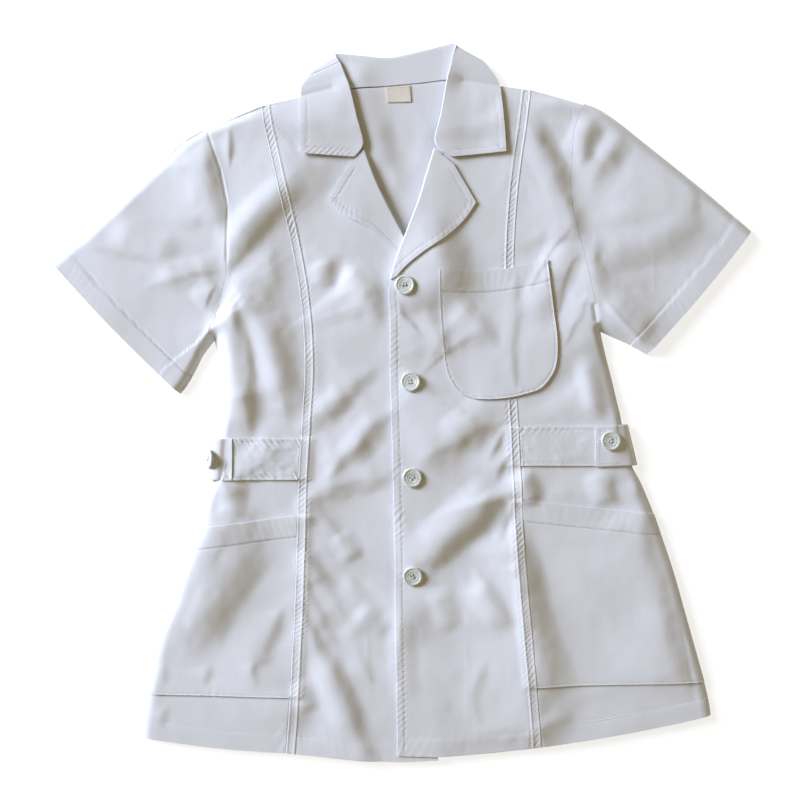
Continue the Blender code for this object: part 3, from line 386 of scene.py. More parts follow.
# Lapel sections: the roll edge and the outer edge
RIGHT_LAPEL = (
    ("name", "roll", "outer"),
    ("gorge", (-40.2, 264.0), (-52.4, 250.4)),
    ("tip", (-30.6, 237.0), (-76.5, 211.4)),
    ("belly", (-20.2, 214.0), (-59.9, 195.6)),
    ("middle", (-8.8, 192.0), (-34.7, 182.0)),
    ("low", (1.6, 172.2), (-17.9, 166.6)),
    ("crossing", (10.0, 154.0), (-5.3, 152.6)),
    ("end", (19.0, 134.0), (12.0, 134.0)),
)
LEFT_LAPEL = (
    ("name", "roll", "outer"),
    ("gorge", (34.6, 264.0), (54.2, 248.6)),
    ("tip", (26.3, 237.0), (77.7, 208.6)),
    ("belly", (19.0, 212.0), (64.6, 190.0)),
    ("middle", (10.7, 190.0), (45.1, 171.8)),
    ("low", (2.6, 169.0), (22.6, 156.4)),
    ("crossing", (-4.6, 150.0), (5.1, 142.6)),
    ("end", (-11.4, 128.0), (-5.6, 131.0)),
)

# Chest pocket sections and how far each line sags in its middle
CHEST_POCKET = (
    ("name", "left", "right", "sag"),
    ("mouth", (38.9, 137.6), (152.0, 149.1), 5.6),
    ("band", (39.4, 116.0), (154.6, 127.0), 4.0),
    ("upper", (40.6, 90.0), (158.8, 96.0), 2.0),
    ("middle", (42.8, 62.0), (162.4, 66.0), 0.0),
    ("lower", (46.5, 35.0), (161.6, 41.0), 0.0),
    ("corner", (52.5, 20.0), (155.5, 26.0), 0.0),
    ("curve", (62.0, 9.0), (144.0, 13.6), 0.0),
    ("bottom", (76.0, 3.6), (126.0, 7.6), 2.2),
)

# Folds: the shaded flank's two ends, how wide the fold is, how high its crest stands
# and how far the flank bows sideways
FOLDS = (
    ("x0", "y0", "x1", "y1", "width", "height", "bow"),
    (-182.0, 147.0, -96.0, 233.0, 17.0, 4.0, 6.0),
    (-180.0, 110.0, -152.0, -28.0, 17.0, 5.0, 8.0),
    (-148.0, 96.0, -108.0, 4.0, 17.0, 3.0, 0.0),
    (-168.0, -84.0, -172.0, -124.0, 14.0, 3.0, 0.0),
    (-136.0, -148.0, -206.0, -258.0, 22.0, 4.4, 5.0),
    (-84.0, 152.0, -68.0, 122.0, 13.0, 2.4, 0.0),
    (-58.0, 144.0, -26.0, 110.0, 14.0, 2.6, 0.0),
    (-80.0, -24.0, -52.0, 8.0, 15.0, 2.6, 0.0),
    (-56.0, -70.0, -16.0, -22.0, 16.0, 3.0, 0.0),
    (-94.0, -90.0, -86.0, -130.0, 14.0, 2.4, 0.0),
    (-62.0, -132.0, -42.0, -164.0, 14.0, 2.6, 0.0),
    (-98.0, -150.0, -84.0, -194.0, 13.0, 2.6, 0.0),
    (-76.0, -254.0, -36.0, -352.0, 18.0, 3.8, 5.0),
    (-104.0, -286.0, -88.0, -324.0, 13.0, 2.4, 0.0),
    (-52.0, -220.0, -14.0, -246.0, 14.0, 2.6, 0.0),
    (114.0, -90.0, 20.0, -174.0, 22.0, 6.0, 0.0),
    (104.0, -2.0, 46.0, -52.0, 16.0, 3.4, 4.0),
    (44.0, -190.0, 58.0, -242.0, 14.0, 2.6, 0.0),
    (78.0, -182.0, 118.0, -236.0, 16.0, 2.8, 0.0),
    (4.0, -206.0, 10.0, -318.0, 15.0, 2.2, 0.0),
    (136.0, 300.0, 176.0, 222.0, 17.0, 3.2, 0.0),
    (186.0, 182.0, 134.0, 74.0, 20.0, 4.6, -6.0),
    (196.0, 54.0, 216.0, -18.0, 15.0, 3.4, 0.0),
    (126.0, -68.0, 146.0, -106.0, 14.0, 3.0, 0.0),
    (206.0, -68.0, 220.0, -110.0, 14.0, 3.0, 0.0),
    (130.0, -142.0, 180.0, -310.0, 20.0, 4.2, 8.0),
    (-312.0, 174.0, -232.0, 144.0, 20.0, 4.6, 0.0),
    (-258.0, 122.0, -188.0, 134.0, 16.0, 3.4, 0.0),
    (-212.0, 96.0, -188.0, 122.0, 14.0, 2.6, 0.0),
    (208.0, 296.0, 184.0, 248.0, 16.0, 3.2, 0.0),
    (240.0, 278.0, 214.0, 244.0, 16.0, 2.8, 0.0),
    (198.0, 144.0, 312.0, 166.0, 22.0, 4.6, 0.0),
    (218.0, 116.0, 268.0, 74.0, 18.0, 3.6, 0.0),
)

# Turned faces of the two belt ends and the place of the label, as in the solids
BELT_END_RIGHT = -176.9
BELT_END_LEFT = 202.4
LEFT_BELT_RUN = (222.0, 212.0)
RIGHT_WRAP = ((-185.0, 11.2), (-191.0, 12.0), (-197.2, 9.8), (-201.2, 6.2), (-201.0, 2.8), (-197.0, 0.7))
LEFT_WRAP = ((230.6, 10.4), (236.6, 8.8), (240.2, 5.6), (240.4, 2.6), (238.2, 0.7))
RIGHT_WRAP_SLANT = 0.08
LEFT_WRAP_SLANT = -0.22
FRONT_BUTTONS = ((3.1, 121.8), (9.2, 21.0), (10.8, -78.8), (11.4, -181.7))
LEFT_BELT_BUTTON = (217.6, -40.2)
RIGHT_BELT_BUTTON = (-200.8, -59.0, 9.5)
RIGHT_BELT_BUTTON_FACES = (-0.84, 0.0, 0.54)
LABEL_CORNERS = ((-17.2, 330.6), (8.8, 332.6), (9.6, 315.4), (-15.4, 314.4))

# Creases in photo pixels: the path of the steep shaded flank, how wide it is where it starts and
# ends, and how much the cloth rises over it in millimetres
CREASES = (
    ("path", "start_width", "end_width", "height"),
    (((226, 284), (236, 264), (252, 246), (272, 225), (290, 202)), 9, 16, 2.6),
    (((345, 160), (306, 190), (266, 228), (230, 272)), 50, 42, 7.5),
    (((230, 126), (233, 150), (229, 172)), 7, 5, 2.6),
    (((209, 136), (213, 165), (218, 200), (225, 240)), 20, 16, 6.0),
    (((60, 238), (112, 252), (160, 264), (204, 274)), 8, 5, 1.7),
    (((226, 272), (190, 274), (140, 294)), 6, 9, 1.2),
    (((218, 280), (204, 312)), 5, 6, 1.3),
    (((221, 288), (214, 320), (211, 348)), 6, 8, 1.2),
    (((137, 178), (124, 214)), 16, 16, 1.8),
    (((231, 292), (244, 332), (251, 372), (252, 446)), 10, 18, 5.6),
    (((228, 268), (256, 292), (277, 328), (291, 370), (298, 430)), 38, 38, 13.0),
    (((228, 281), (258, 290), (296, 304)), 14, 36, 3.6),
    (((274, 236), (276, 268), (280, 300)), 12, 12, 1.8),
    (((250, 474), (240, 492), (222, 512)), 24, 26, 6.0),
    (((262, 490), (246, 550), (220, 606), (192, 668)), 70, 60, 13.0),
    (((288, 604), (270, 640), (252, 680)), 14, 18, 3.6),
    (((258, 656), (256, 690)), 6, 6, 1.2),
    (((262, 424), (276, 446), (292, 470)), 26, 28, 4.0),
    (((212, 660), (206, 690)), 8, 8, 1.4),
    (((170, 655), (164, 690)), 7, 7, 1.0),
    (((168, 704), (160, 730)), 6, 6, 1.4),
    (((314, 680), (303, 712), (292, 748)), 30, 32, 5.0),
    (((350, 250), (332, 268), (308, 292)), 12, 14, 3.0),
    (((346, 252), (362, 268), (376, 290), (390, 326)), 24, 20, 7.0),
    (((318, 330), (322, 400)), 14, 16, 1.4),
    (((380, 366), (342, 400), (298, 440)), 17, 19, 4.8),
    (((402, 408), (368, 440), (324, 486)), 17, 16, 4.6),
    (((402, 472), (360, 488), (306, 500)), 20, 20, 5.4),
    (((306, 486), (312, 510), (320, 540)), 9, 10, 2.0),
    (((312, 502), (334, 526), (352, 546), (372, 562)), 10, 10, 2.4),
    (((306, 540), (320, 570), (336, 596), (356, 622)), 12, 16, 3.4),
    (((340, 566), (358, 588), (378, 606)), 10, 12, 1.9),
    (((304, 572), (314, 596), (330, 626), (346, 650)), 7, 9, 1.9),
    (((392, 606), (372, 622), (350, 644)), 18, 18, 2.6),
    (((306, 606), (330, 656), (352, 706), (382, 780)), 14, 18, 4.6),
    (((356, 640), (366, 662), (380, 690)), 10, 12, 1.8),
    (((401, 302), (409, 320), (426, 342)), 6, 9, 3.0),
    (((428, 300), (442, 330), (456, 362)), 16, 14, 4.4),
    (((420, 206), (450, 246), (490, 300)), 50, 50, 7.5),
    (((442, 288), (470, 306), (490, 326), (502, 352)), 22, 20, 6.0),
    (((516, 270), (517, 330), (514, 392)), 8, 8, 1.5),
    (((400, 366), (436, 396), (498, 432)), 12, 14, 4.0),
    (((508, 420), (486, 432), (456, 448), (410, 474)), 14, 22, 4.4),
    (((507, 428), (497, 444), (489, 462)), 5, 6, 2.2),
    (((512, 450), (502, 468), (494, 488)), 6, 8, 2.6),
    (((508, 490), (488, 514), (466, 540), (436, 560), (398, 582)), 22, 28, 5.8),
    (((516, 496), (508, 520), (498, 546)), 7, 8, 2.0),
    (((444, 586), (428, 618), (404, 652)), 34, 36, 5.0),
    (((470, 560), (492, 592), (516, 626)), 14, 16, 3.0),
    (((520, 560), (512, 584)), 6, 6, 1.4),
    (((404, 600), (402, 640), (400, 690)), 8, 8, 1.0),
    (((488, 650), (478, 700), (482, 730)), 12, 12, 1.6),
    (((526, 100), (546, 146), (568, 196), (590, 250)), 24, 22, 7.0),
    (((508, 88), (517, 120), (522, 156)), 24, 22, 4.0),
    (((573, 222), (556, 248), (538, 276), (526, 300)), 5, 4, 0.9),
    (((581, 250), (566, 280), (552, 324)), 5, 5, 1.0),
    (((590, 290), (576, 320), (562, 356)), 5, 5, 0.9),
    (((582, 360), (596, 392), (608, 424)), 16, 22, 4.0),
    (((524, 462), (532, 482), (540, 508)), 28, 24, 6.0),
    (((610, 462), (614, 486), (618, 510)), 12, 12, 2.6),
    (((636, 468), (640, 500), (646, 514)), 8, 8, 2.0),
    (((521, 512), (530, 584), (542, 644), (562, 756)), 22, 60, 9.5),
    (((644, 490), (658, 570), (674, 640), (690, 700)), 24, 24, 5.0),
    (((560, 700), (572, 730)), 16, 16, 1.8),
    (((600, 112), (592, 140), (579, 172)), 18, 13, 3.8),
    (((628, 132), (612, 160), (590, 196)), 16, 20, 3.2),
    (((586, 218), (640, 230), (690, 240), (718, 238)), 30, 24, 4.6),
    (((592, 240), (618, 282), (642, 316), (668, 352)), 56, 60, 10.0),
    (((598, 226), (599, 262), (602, 300)), 20, 18, 5.0),
)

# Thin lines in photo pixels, raised or sunk: seams turned to the front and pressed creases
THIN_LINES = (
    ("x0", "y0", "x1", "y1", "width", "height"),
    (674, 590, 698, 716, 1.3, -0.55),
    (542, 103, 575, 109, 1.1, -0.45),
    (572, 109, 571, 121, 0.9, -0.30),
    (600, 300, 646, 350, 3.2, 0.90),
    (592, 302, 596, 324, 2.6, -1.60),
    (366, 612, 370, 700, 1.2, 0.25),
    (653, 247, 654, 297, 1.1, 0.16),
    (467, 600, 467, 742, 1.1, 0.20),
    (207, 130, 223, 176, 1.6, -0.9),
    (220, 166, 229, 208, 1.6, -1.0),
    (229, 200, 227, 268, 1.6, -1.0),
)

# Creases of the back seen in the neck, in photo pixels
NECK_CREASES = (
    ("x0", "y0", "x1", "y1", "width", "height"),
    (412, 92, 434, 118, 2.0, -0.55),
    (412, 90, 444, 104, 1.8, -0.45),
    (411, 96, 424, 124, 2.2, 0.40),
    (352, 56, 382, 176, 17.0, 3.0),
    (372, 118, 402, 196, 10.0, 1.2),
    (430, 120, 418, 176, 9.0, 1.0),
    (392, 112, 398, 150, 6.0, -0.5),
)

# Sewing along the borders of each piece: how far in the stitches run, how much the band outside
# them stands up, how deep the stitches pull, and the height, pitch, lean and reach of the pucker
SEWING = (
    ("piece", "border", "offset", "raise", "groove", "pucker", "pitch", "lean", "reach", "trim"),
    ("front_right", "seam", 8.8, 0.40, 0.20, 0.34, 5.4, 0.9, 6.0, 1.0),
    ("front_right", "hem", 19.0, 0.20, 0.24, 0.10, 7.5, 0.3, 9.0, 1.0),
    ("front_left", "seam", 8.8, 0.40, 0.20, 0.34, 5.6, -0.9, 6.0, 1.0),
    ("front_left", "hem", 19.0, 0.20, 0.24, 0.10, 7.5, 0.3, 9.0, 1.0),
    ("front_left", "edge", 7.6, 0.25, 0.28, 0.26, 6.4, 0.8, 5.0, 1.0),
    ("side_front_right", "hem", 19.0, 0.20, 0.24, 0.10, 7.0, 0.3, 9.0, 1.0),
    ("side_front_left", "hem", 19.0, 0.20, 0.24, 0.10, 7.5, 0.3, 8.0, 1.0),
    ("hip_pocket_right", "top", 22.0, 0.36, 0.42, 0.07, 8.0, 0.2, 5.0, 1.0),
    ("hip_pocket_right", "bottom", 1.8, 0.20, 0.30, 0.20, 6.0, 0.1, 8.0, 1.0),
    ("hip_pocket_left", "top", 22.0, 0.36, 0.42, 0.06, 9.0, 0.2, 5.0, 1.0),
    ("hip_pocket_left", "bottom", 1.8, 0.20, 0.30, 0.16, 6.5, 0.1, 8.0, 1.0),
    ("waist_tab_right", "top", 3.4, 0.10, 0.22, 0.46, 6.0, 0.7, 6.0, 1.0),
    ("waist_tab_right", "bottom", 3.4, 0.10, 0.22, 0.50, 5.6, -0.7, 6.0, 1.0),
    ("waist_tab_left", "top", 3.4, 0.10, 0.22, 0.34, 6.4, 0.5, 5.0, 1.0),
    ("waist_tab_left", "bottom", 3.4, 0.10, 0.22, 0.36, 6.0, -0.5, 6.0, 1.0),
    ("waist_tab_left", "first", 3.4, 0.05, 0.30, 0.10, 6.0, 0.0, 3.0, 4.0),
    ("waist_tab_right", "first", 3.4, 0.05, 0.30, 0.10, 6.0, 0.0, 3.0, 4.0),
    ("chest_pocket", "top", 22.0, 0.40, 0.42, 0.07, 8.0, 0.2, 5.0, 1.0),
    ("chest_pocket", "first", 1.9, 0.15, 0.35, 0.14, 6.5, 0.3, 3.5, 0.0),
    ("chest_pocket", "last", 1.9, 0.15, 0.35, 0.14, 6.5, 0.3, 3.5, 0.0),
    ("chest_pocket", "bottom", 1.9, 0.15, 0.35, 0.14, 6.5, 0.3, 3.5, 0.0),
    ("sleeve_right", "cuff", 20.5, 0.45, 0.90, 0.05, 8.0, 0.2, 5.0, 1.0),
    ("sleeve_left", "cuff", 20.5, 0.50, 0.55, 0.05, 8.0, 0.2, 5.0, 1.0),
    ("collar", "right_outer", 6.4, 0.12, 0.34, 0.16, 6.0, 0.8, 4.0, 6.0),
    ("collar", "left_outer", 6.4, 0.12, 0.34, 0.14, 6.0, 0.8, 4.0, 6.0),
    ("collar", "right_end", 6.4, 0.12, 0.34, 0.20, 6.4, 0.9, 5.0, 6.0),
    ("collar", "left_end", 6.4, 0.12, 0.34, 0.16, 6.4, 0.5, 4.0, 6.0),
    ("lapel_right", "outer", 6.0, 0.12, 0.30, 0.14, 6.5, 0.6, 5.0, 5.0),
    ("lapel_left", "outer", 6.0, 0.12, 0.30, 0.14, 6.5, 0.6, 5.0, 5.0),
)


def from_photo(x, y):
    return (x - PHOTO_CENTRE[0]) * PHOTO_SCALE, (PHOTO_CENTRE[1] - y) * PHOTO_SCALE


def table(rows):
    """Turn a table whose first row names its columns into a list of dictionaries."""
    return [dict(zip(rows[0], row)) for row in rows[1:]]


def column(rows, name):
    return np.array([row[name] for row in table(rows)], float)


def smooth(value):
    value = np.clip(value, 0.0, 1.0)
    return value * value * (3.0 - 2.0 * value)


def spline(points, shares):
    """Points on a smooth curve through the given points; each span takes an equal share."""
    points = np.asarray(points, float)
    spans = len(points) - 1
    place = np.clip(np.asarray(shares, float), 0.0, 1.0) * spans
    index = np.minimum(place.astype(int), spans - 1)
    t = (place - index)[..., None]
    start, end = points[index], points[index + 1]
    slope_in = (end - points[np.maximum(index - 1, 0)]) * 0.5
    slope_out = (points[np.minimum(index + 2, spans)] - start) * 0.5
    rise = end - start
    return start + t * (slope_in + t * (3 * rise - 2 * slope_in - slope_out
                                        + t * (slope_in + slope_out - 2 * rise)))


def lengths_along(line):
    """Running length at each point of a polyline."""
    steps = np.hypot(*np.diff(line[:, :2], axis=0).T)
    return np.concatenate([[0.0], np.cumsum(steps)])


def noise(x, y, seed):
    """Smooth noise from -1 to 1 with one cell to a unit."""
    low_x, low_y = np.floor(x), np.floor(y)
    part_x, part_y = x - low_x, y - low_y
    part_x = part_x * part_x * (3 - 2 * part_x)
    part_y = part_y * part_y * (3 - 2 * part_y)

    def corner(a, b):
        value = np.sin(a * 127.1 + b * 311.7 + seed * 74.7) * 43758.5453
        return 2.0 * (value - np.floor(value)) - 1.0

    low = corner(low_x, low_y) * (1 - part_x) + corner(low_x + 1, low_y) * part_x
    high = corner(low_x, low_y + 1) * (1 - part_x) + corner(low_x + 1, low_y + 1) * part_x
    return low * (1 - part_y) + high * part_y


def nearest_on(x, y, line):
    """Running length and distance of the nearest place on a polyline, in plan."""
    best = np.full(x.shape, np.inf)
    along = np.zeros(x.shape)
    walked = lengths_along(line)
    for index in range(len(line) - 1):
        start, end = line[index], line[index + 1]
        run = end - start
        size = float(run @ run)
        if size < 1e-12:
            continue
        share = np.clip(((x - start[0]) * run[0] + (y - start[1]) * run[1]) / size, 0.0, 1.0)
        distance = np.hypot(x - start[0] - run[0] * share, y - start[1] - run[1] * share)
        closer = distance < best
        best = np.where(closer, distance, best)
        along = np.where(closer, walked[index] + share * math.sqrt(size), along)
    return along, best


def closed_edges():
    """Outlines where front and back meet: shoulders, sleeve edges and side seams."""
    sides = table(SIDES)
    first_side = next(i for i, row in enumerate(sides) if row["name"] == "underarm")
    edges = []
    for sleeve, side, seam, inner in ((RIGHT_SLEEVE, "right_side", "right_seam", "right_end"),
                                      (LEFT_SLEEVE, "left_side", "left_seam", "left_end")):
        shoulder = [table(OPENING)[0][inner], sides[0][seam]]
        edges.append(np.array(shoulder + [row["top"] for row in table(sleeve)]))
        edges.append(np.array([row["low"] for row in reversed(table(sleeve))]))
        edges.append(np.array([row[side] for row in sides[first_side:]]))
    return edges


EDGES = closed_edges()


def belt_middle(x):
    return BELT_MIDDLE_Y + BELT_RISE * (x - BELT_MIDDLE_X)


def back_top(x, y):
    off_belt = np.abs(y - belt_middle(x))
    over_belt = 1.0 - smooth((off_belt - BELT_PLATEAU) / (BELT_RAMP - BELT_PLATEAU))
    over_fall = smooth((y - COLLAR_RAMP_LOW) / (COLLAR_RAMP_HIGH - COLLAR_RAMP_LOW))
    return WALL + STEP * np.maximum(over_belt, over_fall)


def layered(x, y, layers):
    """Sum of several layers of noise."""
    return sum(height * noise(x / wide, y / tall, seed) for height, wide, tall, seed in layers)


def folds(x, y, rows):
    """Sum of a table's folds. A crest stands on the lit side of each shaded flank."""
    total = np.zeros(x.shape)
    for row in table(rows):
        x0, y0, x1, y1 = (row[name] for name in ("x0", "y0", "x1", "y1"))
        length = math.hypot(x1 - x0, y1 - y0)
        along = ((x1 - x0) / length, (y1 - y0) / length)
        side = (-along[1], along[0])
        lit = 1.0 if side[0] * LIGHT_FROM[0] + side[1] * LIGHT_FROM[1] > 0 else -1.0
        share = ((x - x0) * along[0] + (y - y0) * along[1]) / length
        reach = ((x - x0) * side[0] + (y - y0) * side[1]) * lit - row["bow"] * 4 * share * (1 - share)
        reach = (reach - row["width"] * CREST_OFFSET) / (row["width"] * FOLD_REACH)
        taper = smooth(share / FOLD_TAPER) * smooth((1.0 - share) / FOLD_TAPER)
        total += row["height"] * taper * np.clip(1.0 - reach * reach, 0.0, 1.0) ** 2
    return total


def signed_distance(x, y, line):
    """Distance from a polyline, above zero on its lit side, and how far along it, from 0 to 1."""
    best = np.full(x.shape, np.inf)
    along, signed = np.zeros(x.shape), np.zeros(x.shape)
    walked = lengths_along(line)
    run = line[-1] - line[0]
    lit = 1.0 if -run[1] * KEY_FROM[0] + run[0] * KEY_FROM[1] > 0.0 else -1.0
    for index in range(len(line) - 1):
        start, way = line[index], line[index + 1] - line[index]
        size = math.hypot(*way)
        share = np.clip(((x - start[0]) * way[0] + (y - start[1]) * way[1]) / size ** 2, 0.0, 1.0)
        off_x, off_y = x - start[0] - way[0] * share, y - start[1] - way[1] * share
        distance = np.hypot(off_x, off_y)
        closer = distance < best
        best = np.where(closer, distance, best)
        side = np.where((way[0] * off_y - way[1] * off_x) * lit >= 0.0, 1.0, -1.0)
        signed = np.where(closer, distance * side, signed)
        along = np.where(closer, (walked[index] + share * size) / walked[-1], along)
    return signed, along


def creases(x, y, rows):
    """Soft folds with a steep shaded flank, a long lit slope above it and a shallow dip below."""
    total = np.zeros(np.shape(x))
    x, y = x + layered(x, y, DRIFT_X), y + layered(x, y, DRIFT_Y)
    for row in table(rows):
        line = np.array([from_photo(*spot) for spot in row["path"]])
        if len(line) > 2:
            line = spline(line, np.linspace(0.0, 1.0, 4 * len(line)))
        reach = max(row["start_width"], row["end_width"]) * PHOTO_SCALE * CREASE_REACH
        near = ((x > line[:, 0].min() - reach) & (x < line[:, 0].max() + reach)
                & (y > line[:, 1].min() - reach) & (y < line[:, 1].max() + reach))
        if not near.any():
            continue
        off, along = signed_distance(x[near], y[near], line)
        width = row["start_width"] + (row["end_width"] - row["start_width"]) * along
        taper = (TAPER_LENGTH + width.mean() * TAPER_BY_WIDTH) / lengths_along(line)[-1]
        taper = min(taper, CREASE_TAPER)
        ends = smooth(along / taper) * smooth((1.0 - along) / taper)
        place = off / (width * PHOTO_SCALE * (END_WIDTH + (1.0 - END_WIDTH) * ends))
        over = 0.5 * (1.0 + np.tanh(CREASE_STEEP * place))
        leaf = END_REACH + (1.0 - END_REACH) * ends
        lit_slope = leaf * np.minimum(LIT_SLOPE, LONGEST_LIT / width + LEAST_SLOPE)
        foot_slope = leaf * np.minimum(FOOT_SLOPE, LONGEST_FOOT / width + LEAST_SLOPE)
        crest = np.exp(-(np.maximum(place - FLANK_HALF, 0.0) / lit_slope) ** SLOPE_POWER)
        foot = np.exp(-(np.maximum(-place - FLANK_HALF, 0.0) / foot_slope) ** SLOPE_POWER)
        crest, foot = CREASE_CREST * crest, (CREASE_CREST - 1.0) * foot
        total[near] += row["height"] * ends * (over * crest + (1.0 - over) * foot)
    return total


def thin_lines(x, y, rows):
    """Raised or sunk lines with soft ends."""
    total = np.zeros(x.shape)
    for row in table(rows):
        line = np.array([from_photo(row["x0"], row["y0"]), from_photo(row["x1"], row["y1"])])
        along, off = nearest_on(x, y, line)
        length = math.dist(line[0], line[1])
        share = along / length
        ends = smooth(share * LINE_TAPERS) * smooth((1.0 - share) * LINE_TAPERS)
        total += row["height"] * ends * np.exp(-(off / row["width"]) ** 2)
    return total


def undulation(x, y):
    """Uneven low swells and small wrinkles that washed cloth keeps."""
    lean = x * 0.8 + y * 0.6
    return layered(x, y, SWELLS) + layered(lean, y, LEANING_SWELLS)


def crown(x, y):
    """How full the cloth stands as it rolls down to its closed edges, and how far off they are."""
    by_neck = smooth((COLLAR_ROLL_END - np.abs(x)) / COLLAR_ROLL_FADE)
    by_neck = by_neck * smooth((y - COLLAR_ROLL_LOW) / COLLAR_ROLL_FADE)
    roll = EDGE_ROLL + (COLLAR_ROLL - EDGE_ROLL) * by_neck
    off = np.full(x.shape, np.inf)
    for edge in EDGES:
        off = np.minimum(off, nearest_on(x, y, edge)[1])
    return 1.0 - (1.0 - np.minimum(off / roll, 1.0)) ** 2, off


def rolled_down(soft, x, y):
    """Height of the soft cloth, rolled down to its closed edges and nowhere too steep."""
    full, off = crown(x, y)
    risen = np.maximum(soft * full, LEAST_RISE)
    allowed = np.maximum(EDGE_SLOPE * off, LEAST_RISE)
    return (risen ** -CAP_SHARPNESS + allowed ** -CAP_SHARPNESS) ** (-1.0 / CAP_SHARPNESS)


def front_surface(x, y):
    """Upper face of the lower layer of the fronts and of the sleeves' upper half."""
    x, y = np.asarray(x, float), np.asarray(y, float)
    soft = AIR + BROAD_SHARE * folds(x, y, FOLDS) + creases(x, y, CREASES) + undulation(x, y)
    soft = 0.5 * (soft + np.sqrt(soft * soft + LOWEST_SWELL ** 2))
    off_belt = np.abs(y - belt_middle(x))
    lift = 1.0 - smooth((off_belt - BELT_PLATEAU) / (FRONT_BELT_RAMP - BELT_PLATEAU))
    base = np.maximum(back_top(x, y), WALL + STEP * lift)
    return base + STEP + rolled_down(soft, x, y) + thin_lines(x, y, THIN_LINES)


def lap_lift(x, y):
    over_lap = 1.0 - smooth((x - LAP_END) / LAP_FADE)
    away = np.hypot(x - LAPEL_LIFT_PLACE[0], y - LAPEL_LIFT_PLACE[1]) / LAPEL_LIFT_REACH
    over_lapel = 1.0 - smooth((away - LAPEL_LIFT_CORE) / (1.0 - LAPEL_LIFT_CORE))
    return (STEP + LAP_CLEAR) * over_lap + LAPEL_LIFT * over_lapel


def left_surface(x, y):
    return front_surface(x, y) + lap_lift(x, y)


def back_surface(x, y):
    inside_neck = smooth((y - NECK_INSIDE_LOW) / NECK_INSIDE_FADE)
    return back_top(x, y) + inside_neck * thin_lines(x, y, NECK_CREASES)


def sewn(x, y, name, borders):
    """Bands, pulled stitches and pucker along a piece's borders, added to its surface."""
    total = np.zeros(np.shape(x))
    for number, row in enumerate(table(SEWING)):
        if row["piece"] != name:
            continue
        line = borders[row["border"]][0]
        along, off = nearest_on(x, y, line)
        phase = (along + row["lean"] * off) / row["pitch"]
        phase += PUCKER_WANDER * noise(along / 23.0, off / 30.0, number + 17)
        uneven = PUCKER_MEAN + PUCKER_SPREAD * noise(along / 34.0, off / 60.0, number + 41)
        uneven = np.clip(uneven, 0.0, PUCKER_MOST)
        wave = uneven * np.sin(phase * math.tau)
        beyond = np.maximum(off - row["offset"], 0.0)
        if row["border"] == "seam":
            for rim in (WELT_RIM, row["offset"]):
                total += row["raise"] * np.exp(-((off - rim) / RIM_WIDTH) ** 2)
            total -= row["groove"] * np.exp(-((off - row["offset"] - WELT_STEP) / GROOVE_WIDTH) ** 2)
            inside = smooth((off - WELT_RIM) / BAND_EDGE) * smooth((row["offset"] - off) / BAND_EDGE)
            total += inside * (WELT_ROPES * wave - WELT_SUNK)
            pucker = row["pucker"] * wave * np.exp(-(beyond / row["reach"]) ** 2)
            total += pucker * (off > row["offset"])
            continue
        shape = row["raise"] * (1.0 - smooth((off - row["offset"] + BAND_EDGE / 2.0) / BAND_EDGE))
        shape = shape - row["groove"] * np.exp(-((off - row["offset"]) / GROOVE_WIDTH) ** 2)
        shape = shape + row["pucker"] * wave * np.exp(-(beyond / row["reach"]) ** 2)
        if row["trim"] > LONGEST_PLAIN_TRIM:
            left = lengths_along(line)[-1] - along
            shape = shape * smooth(along / row["trim"]) * smooth(left / row["trim"])
        total += shape
    return total


def new_mesh(name, points, faces, smooth_angle=SHARP_ANGLE):
    """One mesh object from points in millimetres, shaded smooth with sharp edges kept."""
    mesh = bpy.data.meshes.new(name)
    mesh.from_pydata((np.asarray(points, float) * MM).tolist(), [], faces)
    mesh.validate()
    mesh.shade_smooth()
    mesh.set_sharp_from_angle(angle=math.radians(smooth_angle))
    obj = bpy.data.objects.new(name, mesh)
    bpy.context.scene.collection.objects.link(obj)
    return obj


def grid_faces(rows, columns, start, flip):
    faces = []
    for row in range(rows - 1):
        for col in range(columns - 1):
            a = start + row * columns + col
            quad = (a, a + columns, a + columns + 1, a + 1)
            faces.append(quad[::-1] if flip else quad)
    return faces


def ring_faces(rings, size, start=0, flip=False):
    """Faces between rings of equal size, each closed on itself."""
    faces = []
    for ring in range(rings - 1):
        for index in range(size):
            a = start + ring * size + index
            b = start + ring * size + (index + 1) % size
            faces.append((a, a + size, b + size, b) if flip else (a, b, b + size, a + size))
    return faces


def lowest_near(values, reach):
    """Lowest value of a grid within some cells, by rows and then by columns."""
    for axis in (0, 1):
        margins = [(reach, reach) if axis == index else (0, 0) for index in (0, 1)]
        wide = np.pad(values, margins, mode="edge")
        size = values.shape[axis]
        shifted = [np.take(wide, range(shift, shift + size), axis) for shift in range(2 * reach + 1)]
        values = np.min(shifted, axis=0)
    return values


